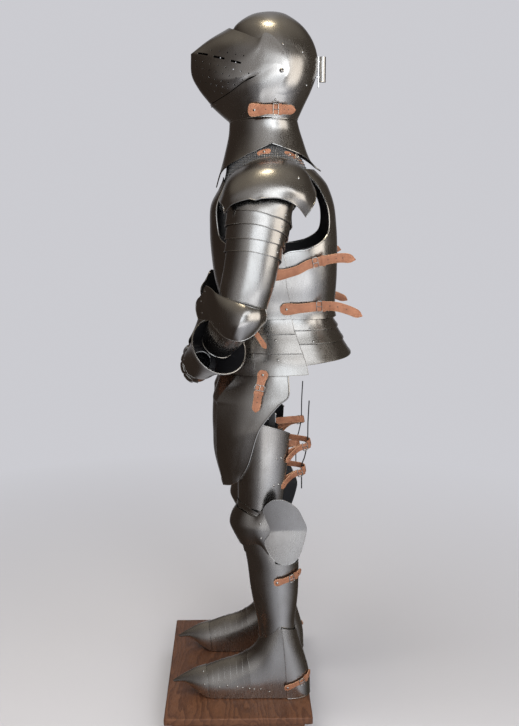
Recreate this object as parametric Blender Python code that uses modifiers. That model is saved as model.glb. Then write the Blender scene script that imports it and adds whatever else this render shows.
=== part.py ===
"""Suit of plate armour on a display stand. Metres, +Z up, the suit faces -Y, its left side is +X.

Heights in the tables are above the top of the base board, where the empty named suit stands.
Every plate is a sheet with a true wall; the tables hold its outer face.
"""

import math

import bmesh
import bpy
import numpy as np
from mathutils import Vector

OBJECT_NAME = "suit_of_plate_armour"
CUTTERS = "cutters"
WALL = 0.002
LEATHER = 0.0024
WIRE_RADIUS = 0.0016
WIRE_X = 0.125
CUISSE_FACING = 14.0
MAIL = 0.0024
BASE_LENGTH = 0.584
BASE_DEPTH = 0.390
BOARD_THICK = 0.020
PLINTH_INSET = 0.020
BASE_HEIGHT = 0.075
JOINT_GAP = 0.0005
SUIT_SHIFT_X = 0.020
POST_X = 0.125
POST_Y = 0.0910
POST_SIZE = 0.016
PLUME_Y = 0.2235
VISOR_HINGE = (0.0, 0.113, 1.645)

MATERIALS = {
    # slot: base colour, metallic, roughness
    "steel": ((0.42, 0.40, 0.37), 1.0, 0.34),
    "mail_steel": ((0.20, 0.20, 0.21), 1.0, 0.45),
    "leather": ((0.50, 0.23, 0.10), 0.0, 0.55),
    "black_paint": ((0.015, 0.015, 0.016), 0.0, 0.45),
    "walnut": ((0.12, 0.055, 0.03), 0.0, 0.45),
}

# Level forms: z, centre x, front y, back y, y of the widest line, half width, front and back squareness.
TORSO = [
    (0.885, 0.0, -0.054, 0.328, 0.122, 0.192, 2.2, 2.6),
    (0.923, 0.0, -0.052, 0.322, 0.122, 0.186, 2.2, 2.6),
    (0.948, 0.0, -0.050, 0.310, 0.120, 0.178, 2.2, 2.6),
    (0.974, 0.0, -0.047, 0.296, 0.118, 0.169, 2.2, 2.6),
    (1.006, 0.0, -0.043, 0.280, 0.115, 0.158, 2.3, 2.6),
    (1.035, 0.0, -0.040, 0.267, 0.115, 0.153, 2.5, 2.7),
    (1.070, 0.0, -0.042, 0.265, 0.115, 0.155, 2.7, 2.8),
    (1.130, 0.0, -0.058, 0.268, 0.110, 0.166, 2.9, 2.9),
    (1.206, 0.0, -0.067, 0.268, 0.105, 0.172, 3.0, 3.0),
    (1.260, 0.0, -0.069, 0.2655, 0.100, 0.166, 3.1, 3.0),
    (1.316, 0.0, -0.066, 0.259, 0.095, 0.155, 3.2, 3.0),
    (1.360, 0.0, -0.0440, 0.245, 0.092, 0.142, 2.8, 2.8),
    (1.385, 0.0, -0.034, 0.230, 0.090, 0.133, 2.5, 2.6),
    (1.420, 0.0, -0.028, 0.196, 0.090, 0.115, 2.4, 2.3),
]
NECK = [
    (1.360, 0.0, -0.052, 0.262, 0.090, 0.152, 2.9, 2.2),
    (1.386, 0.0, -0.045, 0.240, 0.090, 0.143, 2.7, 2.2),
    (1.406, 0.0, -0.040, 0.224, 0.090, 0.133, 2.5, 2.2),
    (1.420, 0.0, -0.036, 0.206, 0.090, 0.122, 2.3, 2.2),
    (1.445, 0.0, -0.0295, 0.191, 0.088, 0.108, 2.2, 2.1),
    (1.491, 0.0, -0.019, 0.175, 0.087, 0.094, 2.1, 2.0),
    (1.526, 0.0, -0.016, 0.163, 0.086, 0.088, 2.0, 2.0),
    (1.560, 0.0, -0.0165, 0.157, 0.085, 0.0875, 2.0, 2.0),
]
SKULL = [
    (1.5335, 0.0, -0.040, 0.160, 0.094, 0.084, 2.0, 2.0),
    (1.570, 0.0, -0.040, 0.177, 0.094, 0.094, 2.0, 2.0),
    (1.610, 0.0, -0.030, 0.196, 0.095, 0.104, 2.0, 2.0),
    (1.650, 0.0, -0.012, 0.209, 0.095, 0.107, 2.0, 2.0),
    (1.690, 0.0, -0.018, 0.210, 0.095, 0.105, 2.0, 2.0),
    (1.730, 0.0, -0.014, 0.197, 0.095, 0.096, 2.0, 2.0),
    (1.765, 0.0, -0.001, 0.171, 0.093, 0.076, 2.0, 2.0),
    (1.790, 0.0, 0.034, 0.136, 0.088, 0.046, 2.0, 2.0),
    (1.7985, 0.0, 0.066, 0.112, 0.089, 0.020, 2.0, 2.0),
    (1.800, 0.0, 0.0898, 0.0902, 0.090, 0.0002, 2.0, 2.0),
]
MAIL_FORM = [
    (1.200, 0.0, -0.052, 0.215, 0.088, 0.160, 2.2, 2.0),
    (1.300, 0.0, -0.050, 0.218, 0.088, 0.182, 2.2, 2.0),
    (1.350, 0.0, -0.040, 0.208, 0.088, 0.183, 2.2, 2.0),
    (1.390, 0.0, -0.0275, 0.192, 0.088, 0.174, 1.9, 2.0),
    (1.420, 0.0, -0.024, 0.178, 0.088, 0.155, 1.7, 2.0),
    (1.438, 0.0, -0.018, 0.168, 0.088, 0.134, 1.6, 2.0),
    (1.450, 0.0, -0.010, 0.154, 0.088, 0.116, 1.5, 2.0),
    (1.462, 0.0, 0.010, 0.144, 0.088, 0.094, 1.6, 2.0),
    (1.470, 0.0, 0.034, 0.138, 0.088, 0.078, 2.0, 2.0),
]
UPPER_ARM = [
    (1.060, 0.249, -0.050, 0.074, 0.012, 0.045, 2.1, 2.1),
    (1.090, 0.249, -0.048, 0.082, 0.017, 0.046, 2.1, 2.1),
    (1.126, 0.248, -0.043, 0.094, 0.026, 0.048, 2.1, 2.1),
    (1.170, 0.245, -0.034, 0.104, 0.035, 0.050, 2.1, 2.1),
    (1.210, 0.241, -0.028, 0.112, 0.042, 0.052, 2.1, 2.1),
    (1.240, 0.238, -0.025, 0.120, 0.047, 0.053, 2.1, 2.1),
    (1.270, 0.235, -0.023, 0.128, 0.052, 0.054, 2.1, 2.1),
    (1.300, 0.232, -0.021, 0.132, 0.056, 0.054, 2.1, 2.1),
    (1.340, 0.229, -0.020, 0.136, 0.060, 0.052, 2.1, 2.1),
    (1.380, 0.224, -0.010, 0.134, 0.062, 0.046, 2.1, 2.1),
]
THIGH = [
    (0.510, 0.126, 0.004, 0.125, 0.064, 0.056, 2.1, 2.0),
    (0.560, 0.124, 0.002, 0.130, 0.066, 0.058, 2.1, 2.0),
    (0.620, 0.122, 0.001, 0.138, 0.070, 0.061, 2.1, 2.0),
    (0.700, 0.119, 0.000, 0.146, 0.073, 0.064, 2.1, 2.0),
    (0.780, 0.116, -0.004, 0.150, 0.075, 0.066, 2.1, 2.0),
]
SHIN = [
    (0.150, 0.132, 0.058, 0.160, 0.112, 0.042, 2.0, 2.0),
    (0.206, 0.131, 0.053, 0.157, 0.110, 0.044, 2.0, 2.0),
    (0.252, 0.130, 0.044, 0.162, 0.107, 0.050, 2.0, 2.0),
    (0.307, 0.129, 0.034, 0.166, 0.103, 0.055, 2.0, 2.0),
    (0.380, 0.128, 0.025, 0.166, 0.098, 0.057, 2.0, 2.0),
    (0.430, 0.127, 0.014, 0.158, 0.090, 0.055, 2.0, 2.0),
    (0.460, 0.127, 0.006, 0.150, 0.085, 0.053, 2.0, 2.0),
]
HEEL = [
    (0.002, 0.133, 0.060, 0.197, 0.133, 0.0475, 2.3, 2.3),
    (0.052, 0.133, 0.060, 0.195, 0.131, 0.0490, 2.2, 2.2),
    (0.100, 0.133, 0.060, 0.184, 0.128, 0.0490, 2.1, 2.1),
    (0.150, 0.133, 0.060, 0.169, 0.124, 0.0485, 2.0, 2.0),
    (0.206, 0.132, 0.055, 0.160, 0.118, 0.0470, 2.0, 2.0),
]
# Forms across the forearm: distance along it, centre x y z, then the four reaches.
FOREARM = [
    (0.000, 0.220, -0.017, 1.027, 0.050, 0.050, 0.050, 0.050),
    (0.025, 0.204, -0.028, 1.008, 0.047, 0.047, 0.047, 0.047),
    (0.050, 0.188, -0.039, 0.990, 0.042, 0.042, 0.042, 0.042),
    (0.070, 0.175, -0.048, 0.974, 0.036, 0.036, 0.036, 0.036),
]
CUFF = [
    (0.000, 0.200, -0.044, 0.973, 0.074, 0.074, 0.074, 0.074),
    (0.030, 0.178, -0.058, 0.958, 0.063, 0.063, 0.063, 0.063),
    (0.070, 0.149, -0.077, 0.938, 0.052, 0.052, 0.052, 0.052),
    (0.114, 0.117, -0.096, 0.916, 0.046, 0.046, 0.046, 0.046),
]
# Across the fist: distance, centre x y z, reach up, down, forward, rearward.
FIST = [
    (0.000, 0.118, -0.092, 0.919, 0.031, 0.031, 0.030, 0.030),
    (0.030, 0.088, -0.100, 0.911, 0.036, 0.040, 0.037, 0.033),
    (0.062, 0.056, -0.104, 0.902, 0.046, 0.054, 0.045, 0.043),
    (0.090, 0.028, -0.104, 0.901, 0.044, 0.052, 0.044, 0.043),
    (0.108, 0.011, -0.104, 0.900, 0.030, 0.036, 0.031, 0.030),
    (0.113, 0.006, -0.104, 0.900, 0.0003, 0.0003, 0.0003, 0.0003),
]

# Guide rows, each from the middle line to the rear edge; the other half is their mirror image.
VISOR = [
    [(0.000, -0.017, 1.760), (0.041, -0.008, 1.753), (0.0765, 0.019, 1.739), (0.0985, 0.056, 1.7235),
     (0.1005, 0.074, 1.7365), (0.104, 0.098, 1.723), (0.109, 0.118, 1.695), (0.1115, 0.125, 1.672)],
    [(0.000, -0.068, 1.731), (0.042, -0.052, 1.725), (0.078, -0.012, 1.712), (0.1015, 0.040, 1.698),
     (0.1065, 0.065, 1.701), (0.1095, 0.090, 1.695), (0.1115, 0.118, 1.681), (0.112, 0.130, 1.664)],
    [(0.000, -0.114, 1.697), (0.034, -0.090, 1.692), (0.066, -0.050, 1.681), (0.093, 0.000, 1.668),
     (0.106, 0.046, 1.660), (0.111, 0.078, 1.662), (0.1125, 0.110, 1.658), (0.112, 0.133, 1.652)],
    [(0.000, -0.113, 1.646), (0.040, -0.095, 1.642), (0.076, -0.052, 1.636), (0.098, 0.000, 1.632),
     (0.107, 0.042, 1.642), (0.111, 0.075, 1.646), (0.112, 0.105, 1.647), (0.112, 0.132, 1.643)],
    [(0.000, -0.094, 1.608), (0.042, -0.078, 1.607), (0.076, -0.038, 1.607), (0.096, 0.008, 1.619),
     (0.106, 0.043, 1.637), (0.111, 0.072, 1.640), (0.112, 0.100, 1.637), (0.112, 0.126, 1.633)],
    [(0.000, -0.066, 1.573), (0.045, -0.050, 1.578), (0.080, -0.015, 1.597), (0.0995, 0.020, 1.621),
     (0.106, 0.044, 1.633), (0.111, 0.070, 1.635), (0.112, 0.095, 1.629), (0.112, 0.116, 1.628)],
]
BEVOR = [
    [(0.000, -0.066, 1.5705), (0.045, -0.051, 1.5755), (0.080, -0.016, 1.5940), (0.1025, 0.020, 1.6175),
     (0.1130, 0.046, 1.630), (0.1170, 0.075, 1.648), (0.1175, 0.100, 1.662), (0.1165, 0.127, 1.650)],
    [(0.000, -0.052, 1.557), (0.045, -0.040, 1.563), (0.078, -0.008, 1.577), (0.1015, 0.026, 1.597),
     (0.1125, 0.052, 1.612), (0.1170, 0.078, 1.622), (0.1175, 0.100, 1.629), (0.1155, 0.120, 1.628)],
    [(0.000, -0.033, 1.540), (0.044, -0.022, 1.547), (0.074, 0.004, 1.557), (0.095, 0.034, 1.570),
     (0.105, 0.055, 1.580), (0.109, 0.074, 1.588), (0.110, 0.088, 1.590), (0.109, 0.099, 1.590)],
    [(0.000, -0.016, 1.526), (0.042, -0.004, 1.529), (0.068, 0.022, 1.533), (0.082, 0.046, 1.536),
     (0.088, 0.062, 1.537), (0.0895, 0.074, 1.537), (0.0900, 0.083, 1.537), (0.0895, 0.092, 1.536)],
]
SABATON = [
    [(0.0000, -0.1790, 0.0360), (0.0010, -0.1790, 0.0355), (0.0020, -0.1780, 0.0340),
     (0.0025, -0.1765, 0.0330), (0.0025, -0.1760, 0.0320)],
    [(0.0000, -0.1500, 0.0530), (0.0060, -0.1490, 0.0510), (0.0110, -0.1470, 0.0460),
     (0.0140, -0.1440, 0.0400), (0.0140, -0.1420, 0.0350)],
    [(0.0000, -0.1150, 0.0710), (0.0130, -0.1140, 0.0640), (0.0250, -0.1120, 0.0480),
     (0.0300, -0.1080, 0.0300), (0.0300, -0.1060, 0.0160)],
    [(0.0000, -0.0850, 0.0800), (0.0170, -0.0840, 0.0720), (0.0320, -0.0820, 0.0520),
     (0.0380, -0.0780, 0.0270), (0.0380, -0.0760, 0.0030)],
    [(0.0000, -0.0450, 0.0950), (0.0180, -0.0430, 0.0850), (0.0340, -0.0400, 0.0600),
     (0.0410, -0.0370, 0.0300), (0.0410, -0.0350, 0.0020)],
    [(0.0000, 0.0060, 0.1110), (0.0200, 0.0060, 0.1010), (0.0360, 0.0080, 0.0750),
     (0.0420, 0.0120, 0.0350), (0.0420, 0.0140, 0.0020)],
    [(0.0000, 0.0420, 0.1340), (0.0230, 0.0450, 0.1280), (0.0390, 0.0550, 0.1000),
     (0.0440, 0.0620, 0.0500), (0.0430, 0.0620, 0.0020)],
    [(0.0000, 0.0530, 0.1500), (0.0250, 0.0660, 0.1600), (0.0420, 0.0880, 0.1400),
     (0.0445, 0.1000, 0.0700), (0.0435, 0.1020, 0.0020)],
    [(0.0000, 0.0650, 0.1720), (0.0260, 0.0800, 0.1880), (0.0390, 0.1160, 0.2000),
     (0.0440, 0.1360, 0.0900), (0.0430, 0.1400, 0.0020)],
]
SABATON_X = 0.133

# Guide rows of the plates of the left side.
PAULDRON = [
    [(0.160, -0.034, 1.340), (0.156, -0.013, 1.387), (0.152, 0.035, 1.424), (0.150, 0.082, 1.4365),
     (0.152, 0.125, 1.432), (0.158, 0.160, 1.410), (0.165, 0.186, 1.374)],
    [(0.205, -0.040, 1.335), (0.205, -0.017, 1.387), (0.205, 0.035, 1.422), (0.205, 0.085, 1.433),
     (0.205, 0.130, 1.426), (0.205, 0.170, 1.400), (0.205, 0.192, 1.355)],
    [(0.245, -0.038, 1.328), (0.250, -0.015, 1.374), (0.255, 0.035, 1.404), (0.258, 0.085, 1.412),
     (0.256, 0.130, 1.402), (0.248, 0.170, 1.372), (0.238, 0.190, 1.335)],
    [(0.268, -0.032, 1.322), (0.278, -0.010, 1.352), (0.286, 0.038, 1.372), (0.289, 0.085, 1.376),
     (0.286, 0.125, 1.368), (0.275, 0.160, 1.345), (0.255, 0.180, 1.315)],
    [(0.270, -0.028, 1.303), (0.286, -0.010, 1.325), (0.297, 0.028, 1.338), (0.300, 0.062, 1.340),
     (0.296, 0.105, 1.339), (0.282, 0.142, 1.322), (0.258, 0.166, 1.294)],
]
COUTER = [
    [(0.190, -0.088, 1.098), (0.212, -0.076, 1.124), (0.238, -0.064, 1.122), (0.274, -0.050, 1.128),
     (0.298, -0.020, 1.104), (0.306, 0.018, 1.089), (0.299, 0.046, 1.077), (0.281, 0.067, 1.072)],
    [(0.170, -0.102, 1.075), (0.205, -0.084, 1.082), (0.242, -0.069, 1.084), (0.287, -0.056, 1.084),
     (0.315, -0.025, 1.068), (0.323, 0.010, 1.056), (0.309, 0.048, 1.056), (0.284, 0.072, 1.057)],
    [(0.190, -0.096, 1.041), (0.212, -0.083, 1.042), (0.238, -0.067, 1.050), (0.264, -0.057, 1.050),
     (0.291, -0.032, 1.022), (0.299, 0.006, 1.006), (0.290, 0.040, 1.018), (0.273, 0.065, 1.046)],
]
TASSET = [
    [(0.028, -0.050, 0.835), (0.080, -0.062, 0.830), (0.142, -0.050, 0.828), (0.187, 0.010, 0.830),
     (0.201, 0.070, 0.835), (0.200, 0.130, 0.841)],
    [(0.030, -0.052, 0.790), (0.080, -0.064, 0.785), (0.140, -0.052, 0.780), (0.184, 0.000, 0.785),
     (0.198, 0.045, 0.790), (0.202, 0.085, 0.795)],
    [(0.036, -0.052, 0.735), (0.080, -0.063, 0.730), (0.136, -0.052, 0.725), (0.174, -0.015, 0.725),
     (0.189, 0.018, 0.730), (0.197, 0.048, 0.735)],
    [(0.050, -0.052, 0.680), (0.085, -0.060, 0.672), (0.130, -0.050, 0.665), (0.161, -0.025, 0.662),
     (0.174, 0.002, 0.662), (0.182, 0.028, 0.660)],
    [(0.085, -0.042, 0.622), (0.105, -0.042, 0.602), (0.126, -0.034, 0.592), (0.142, -0.018, 0.597),
     (0.150, -0.006, 0.603), (0.156, 0.006, 0.613)],
]
TASSET_TOP = ((0.905, -0.0130), (0.884, -0.0125))
TASSET_TURNS = (8.0, 23.0, 46.0, 62.0, 78.0, 92.5)
POLEYN = [
    [(0.066, 0.055, 0.530), (0.085, 0.010, 0.535), (0.127, -0.004, 0.534), (0.168, 0.012, 0.533),
     (0.189, 0.048, 0.522), (0.198, 0.074, 0.556), (0.205, 0.113, 0.577), (0.210, 0.150, 0.555)],
    [(0.063, 0.055, 0.512), (0.083, 0.000, 0.513), (0.127, -0.016, 0.513), (0.171, 0.002, 0.512),
     (0.193, 0.046, 0.506), (0.198, 0.082, 0.527), (0.203, 0.125, 0.538), (0.210, 0.169, 0.521)],
    [(0.061, 0.055, 0.488), (0.082, -0.004, 0.488), (0.127, -0.021, 0.489), (0.172, -0.002, 0.488),
     (0.195, 0.044, 0.488), (0.199, 0.086, 0.487), (0.201, 0.130, 0.490), (0.209, 0.178, 0.494)],
    [(0.063, 0.055, 0.468), (0.083, 0.002, 0.468), (0.127, -0.013, 0.467), (0.171, 0.004, 0.466),
     (0.193, 0.048, 0.468), (0.198, 0.083, 0.452), (0.203, 0.125, 0.443), (0.210, 0.172, 0.460)],
    [(0.068, 0.060, 0.440), (0.088, 0.018, 0.437), (0.127, 0.004, 0.434), (0.166, 0.018, 0.436),
     (0.188, 0.055, 0.445), (0.198, 0.080, 0.420), (0.205, 0.113, 0.397), (0.210, 0.154, 0.408)],
]

# Plates wrapped on a form: height at the middle line, angle to either edge, height at the edges.
BREAST_ROWS = [
    (1.030, 98.0, 1.035), (1.070, 98.0, 1.070), (1.130, 95.0, 1.125), (1.200, 95.0, 1.185),
    (1.235, 88.0, 1.205), (1.268, 62.0, 1.209), (1.298, 43.0, 1.232), (1.330, 38.0, 1.280),
    (1.358, 36.0, 1.330), (1.388, 34.0, 1.368),
]
BACK_ROWS = [
    (1.030, 87.0, 1.035), (1.070, 87.0, 1.070), (1.130, 89.0, 1.125), (1.180, 89.0, 1.180),
    (1.220, 82.0, 1.204), (1.260, 64.0, 1.212), (1.300, 46.0, 1.245), (1.335, 40.0, 1.300),
    (1.370, 42.0, 1.358), (1.395, 46.0, 1.395), (1.410, 50.0, 1.412),
]
# The neck plates end in a shoulder that goes up inside the rim above; the last columns are the
# offset out and the power with which the edge rises to the side.
NECK_FRONT_ROWS = [
    (1.5380, 93.0, 1.5440, -0.0090, 2.0), (1.5255, 93.0, 1.5330, -0.0075, 2.0),
    (1.5230, 93.0, 1.5300, 0.0, 2.0), (1.490, 93.0, 1.512, 0.0, 1.6), (1.450, 93.0, 1.494, 0.0, 1.2),
    (1.405, 93.0, 1.482, 0.0, 0.9), (1.362, 93.0, 1.474, 0.0, 0.65),
]
NECK_BACK_ROWS = [
    (1.5440, 90.0, 1.5440, -0.0120, 2.0), (1.5290, 90.0, 1.5290, -0.0110, 2.0),
    (1.5262, 90.0, 1.5262, -0.0035, 2.0), (1.498, 90.0, 1.512, -0.0035, 1.6),
    (1.462, 90.0, 1.494, -0.0035, 1.2), (1.430, 90.0, 1.482, -0.0035, 0.9),
    (1.406, 90.0, 1.474, -0.0035, 0.65),
]
# Straps behind the thigh: name, height where it is riveted, depth of the loop. The wire hangs in both loops.
CUISSE_STRAPS = [("upper_", 0.674, 0.191), ("lower_", 0.603, 0.178)]
TIE_WIRE = [(0.1880, 0.816), (0.1855, 0.760), (0.1845, 0.705), (0.1775, 0.665), (0.1705, 0.640), (0.1700, 0.578)]
# The skull is closed round the head down to the face opening: height, angle from the back to either edge.
SKULL_ROWS = [
    (1.8000, 180.0), (1.7985, 180.0), (1.790, 180.0), (1.765, 180.0), (1.740, 180.0), (1.716, 180.0),
    (1.700, 145.0), (1.680, 118.0), (1.650, 105.0), (1.610, 100.0), (1.570, 95.0), (1.5335, 92.0),
]
# Stepped lames: height of the upper and lower edge, angle, drop of the ends, offset of either edge.
SHOULDER_LAMES = [
    (1.362, 1.304, 118.0, -0.040, -0.0060, 0.0060), (1.303, 1.274, 118.0, -0.044, 0.0035, 0.0045),
    (1.273, 1.243, 118.0, -0.044, 0.0020, 0.0030), (1.242, 1.211, 118.0, -0.040, 0.0005, 0.0015),
]
FAULD_LAMES = [
    (1.044, 0.997, 102.0, 0.001, -0.0100, -0.0035), (0.996, 0.949, 105.0, 0.002, -0.0060, -0.0045),
    (0.948, 0.889, 107.5, 0.008, -0.0070, -0.0050),
]
CULET_LAMES = [
    (1.044, 1.007, 83.0, 0.000, -0.0140, -0.0085), (1.006, 0.975, 82.0, 0.000, -0.0115, -0.0095),
    (0.974, 0.936, 79.0, -0.018, -0.0125, -0.0115),
]


def spline(points, at):
    """Point at a fractional index along a smooth line through the points."""
    last = len(points) - 1
    at = min(max(at, 0.0), float(last))
    k = min(int(at), last - 1)
    t = at - k
    b, c = points[k], points[k + 1]
    a = points[k - 1] if k > 0 else 2 * b - c
    d = points[k + 2] if k + 2 <= last else 2 * c - b
    return 0.5 * (2 * b + (c - a) * t + (2 * a - 5 * b + 4 * c - d) * t * t
                  + (3 * b - a - 3 * c + d) * t ** 3)


def patch(rows, across, down):
    """Grid of points through guide rows that hold the same number of points."""
    rows = np.array(rows, float)
    guides = [[spline(row, u) for u in np.linspace(0, len(row) - 1, across)] for row in rows]
    columns = np.array(guides).transpose(1, 0, 2)
    steps = np.linspace(0, len(rows) - 1, down)
    return np.array([[spline(column, v) for column in columns] for v in steps])


def whole_rows(rows):
    """Rows given from the middle line outward, with their mirror image in front of them."""
    rows = np.array(rows, float)
    return np.concatenate([(rows * (-1, 1, 1))[:, :0:-1], rows], axis=1)


class Form:
    """Smooth body that plates wrap. Angle 0 points along `front`, 90 along `side`."""

    def __init__(self, rows, front, side):
        rows = np.array(rows, float)
        self.keys = rows[:, 0]
        self.rows = rows[:, 1:]
        self.front = np.array(front, float)
        self.side = np.array(side, float)

    def bare(self, key, turn):
        row = spline(self.rows, np.interp(key, self.keys, np.arange(len(self.keys))))
        centre, reach = row[:3], row[3:7]
        power = row[7:9] if len(row) > 7 else (2.0, 2.0)
        c, s = math.cos(math.radians(turn)), math.sin(math.radians(turn))
        ahead = reach[0] if c > 0 else reach[1]
        aside = reach[2] if s > 0 else reach[3]
        n = power[0] if c > 0 else power[1]
        r = (abs(c / ahead) ** n + abs(s / aside) ** n) ** (-1.0 / n)
        return centre + self.front * (c * r) + self.side * (s * r), centre

    def point(self, key, turn, out=0.0):
        point, centre = self.bare(key, turn)
        if not out:
            return point
        low, high = max(key - 0.002, self.keys[0]), min(key + 0.002, self.keys[-1])
        along = self.bare(high, turn)[0] - self.bare(low, turn)[0]
        round_it = self.bare(key, turn + 1.0)[0] - self.bare(key, turn - 1.0)[0]
        normal = np.cross(along, round_it)
        normal *= np.sign(np.dot(normal, point - centre)) / np.linalg.norm(normal)
        return point + normal * out


def level(table):
    """Form with level sections, from rows of z, centre x, front y, back y, widest y, half width, powers."""
    rows = [(z, x, mid, z, mid - y0, y1 - mid, half, half, n0, n1)
            for z, x, y0, y1, mid, half, n0, n1 in table]
    return Form(rows, (0, -1, 0), (1, 0, 0))


def across_axis(table, first_up):
    """Form whose sections stand square to a straight limb; angle 0 is the upper side."""
    rows = np.array(table, float)
    axis = rows[-1, 1:4] - rows[0, 1:4]
    axis /= np.linalg.norm(axis)
    up = np.array(first_up, float)
    up -= axis * np.dot(up, axis)
    up /= np.linalg.norm(up)
    return Form(rows, up, np.cross(up, axis))


def wrap(form, rows, facing, across, down, out=0.0):
    """Grid on a form from (middle key, angle to either edge, edge key[, offset, power]) rows."""
    guides = []
    for row in rows:
        mid, wide, end = row[:3]
        offset, power = row[3:] or (out, 2.0)
        guides.append([(facing + wide * s, mid + (end - mid) * abs(s) ** power, offset)
                       for s in np.linspace(-1, 1, 9)])
    return np.array([[form.point(key, turn, lift) for turn, key, lift in line]
                     for line in patch(guides, across, down)])


def stepped(form, lames, facing, across):
    """Grid of overlapping lames worked as one sheet, each step a fold of the sheet."""
    lines = []
    for top, bottom, wide, drop, out_top, out_bottom in lames:
        for z, out in ((top, out_top), (bottom, out_bottom)):
            lines.append([form.point(z + drop * s * s, facing + wide * s, out)
                          for s in np.linspace(-1, 1, across)])
    return np.array(lines)


def ribbon(points, widths, middle):
    """Grid of a strap that follows points and lies square to the way out from a middle axis."""
    points = np.array(points, float)
    ends = np.vstack([2 * points[0] - points[1], points, 2 * points[-1] - points[-2]])
    lines = []
    for k, point in enumerate(points):
        along = ends[k + 2] - ends[k]
        away = point - np.array(middle, float)
        aside = np.cross(along / np.linalg.norm(along), away / np.linalg.norm(away))
        aside *= 0.5 * widths[min(k, len(widths) - 1)] / np.linalg.norm(aside)
        lines.append([point - aside, point + aside])
    return np.array(lines)


def material(slot):
    found = bpy.data.materials.get(slot)
    if found:
        return found
    colour, metallic, roughness = MATERIALS[slot]
    made = bpy.data.materials.new(slot)
    made.use_nodes = True
    shader = made.node_tree.nodes["Principled BSDF"]
    shader.inputs["Base Color"].default_value = (*colour, 1.0)
    shader.inputs["Metallic"].default_value = metallic
    shader.inputs["Roughness"].default_value = roughness
    made.diffuse_color = (*colour, 1.0)
    return made


def new_node(name, mesh, slot, parent=None, origin=(0, 0, 0)):
    mesh.materials.append(material(slot))
    node = bpy.data.objects.new(name, mesh)
    node.parent = parent
    node.location = origin
    bpy.data.collections[OBJECT_NAME].objects.link(node)
    return node


def sheet(name, grid, suit, slot="steel", wall=WALL, sign=1, inside=None, flip=False, origin=(0, 0, 0)):
    """Node made from a grid of outer points, its wall laid inward. sign -1 mirrors it to the right side."""
    grid = np.array(grid, float) * (sign, 1, 1)
    down, across = grid.shape[:2]
    inside = grid.reshape(-1, 3).mean(axis=0) if inside is None else np.array(inside, float) * (sign, 1, 1)
    skin = bmesh.new()
    verts = [skin.verts.new(p) for p in grid.reshape(-1, 3)]
    for v in range(down - 1):
        for u in range(across - 1):
            k = v * across + u
            skin.faces.new([verts[k], verts[k + 1], verts[k + across + 1], verts[k + across]])
    bmesh.ops.remove_doubles(skin, verts=skin.verts, dist=0.00001)
    skin.normal_update()
    outward = sum(f.calc_area() * np.dot(f.normal, np.array(f.calc_center_median()) - inside)
                  for f in skin.faces)
    if (outward < 0) != flip:
        bmesh.ops.reverse_faces(skin, faces=skin.faces)
    for vert in skin.verts:
        vert.co -= Vector(origin)
    mesh = bpy.data.meshes.new(name)
    skin.to_mesh(mesh)
    skin.free()
    mesh.shade_smooth()
    node = new_node(name, mesh, slot, suit, origin)
    thick = node.modifiers.new("wall", "SOLIDIFY")
    thick.thickness = wall
    thick.offset = -1.0
    thick.use_quality_normals = True
    return node


def tube(name, points, radius, suit, sign=1):
    """Round wire through points, with closed ends."""
    curve = bpy.data.curves.new(name, "CURVE")
    curve.dimensions = "3D"
    curve.bevel_depth = radius
    curve.bevel_resolution = 1
    curve.resolution_u = 3
    curve.use_fill_caps = True
    line = curve.splines.new("BEZIER")
    line.bezier_points.add(len(points) - 1)
    for knot, (x, y, z) in zip(line.bezier_points, points):
        knot.co = (sign * x, y, z)
        knot.handle_left_type = knot.handle_right_type = "AUTO"
    new_node(name, curve, "black_paint", suit)


def box_node(name, low, high, slot, parent=None):
    """Box from its two opposite corners."""
    low, high = Vector(low), Vector(high)
    cube = bmesh.new()
    bmesh.ops.create_cube(cube, size=1.0)
    bmesh.ops.scale(cube, vec=high - low, verts=cube.verts)
    mesh = bpy.data.meshes.new(name)
    cube.to_mesh(mesh)
    cube.free()
    return new_node(name, mesh, slot, parent, (low + high) / 2)


def combine(base, tools, operation):
    """Join helper solids to the base node, or cut them out of it."""
    for tool in tools:
        change = base.modifiers.new(tool.name, "BOOLEAN")
        change.operation = operation
        change.solver = "EXACT"
        change.object = tool
        tool.hide_render = True
        tool.display_type = "WIRE"
        bpy.data.collections[OBJECT_NAME].objects.unlink(tool)
        bpy.data.collections[CUTTERS].objects.link(tool)


def make_base():
    low = BASE_HEIGHT - BOARD_THICK
    x, y = BASE_LENGTH / 2, BASE_DEPTH / 2
    box_node("base_board", (-x, -y, low), (x, y, BASE_HEIGHT), "walnut")
    x, y = x - PLINTH_INSET, y - PLINTH_INSET
    box_node("base_plinth", (-x, -y, 0), (x, y, low - JOINT_GAP), "walnut")


def make_stand_frame(suit):
    """Two leg posts, a hip bar, a spine and a shoulder bar."""
    h = POST_SIZE / 2
    y0, y1 = POST_Y - h, POST_Y + h
    low, high = (-POST_X - h, y0, JOINT_GAP), (-POST_X + h, y1, 0.930)
    post = box_node("stand_frame", low, high, "black_paint", suit)
    bars = [
        ((POST_X - h, y0, JOINT_GAP), (POST_X + h, y1, 0.930)),
        ((-POST_X - h + 0.002, y0 + 0.001, 0.905), (POST_X + h - 0.002, y1 - 0.001, 0.928)),
        ((-h, y0 + 0.002, 0.915), (h, y1 - 0.002, 1.400)),
        ((-0.110, y0 + 0.001, 1.370), (0.110, y1 - 0.001, 1.390)),
    ]
    combine(post, [box_node("bar_%d" % k, low, high, "black_paint", suit)
                   for k, (low, high) in enumerate(bars)], "UNION")


def make_skull(suit):
    form = level(SKULL)
    grid = [[form.point(z, 180 + wide * s) for s in np.linspace(-1, 1, 17)] for z, wide in SKULL_ROWS]
    sheet("skull", grid, suit)


def make_visor(suit):
    """The visor's origin lies on its hinge, which runs through the two side pivots."""
    sheet("visor", patch(whole_rows(VISOR), 21, 7), suit, inside=(0, 0.09, 1.66), origin=VISOR_HINGE)


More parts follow.
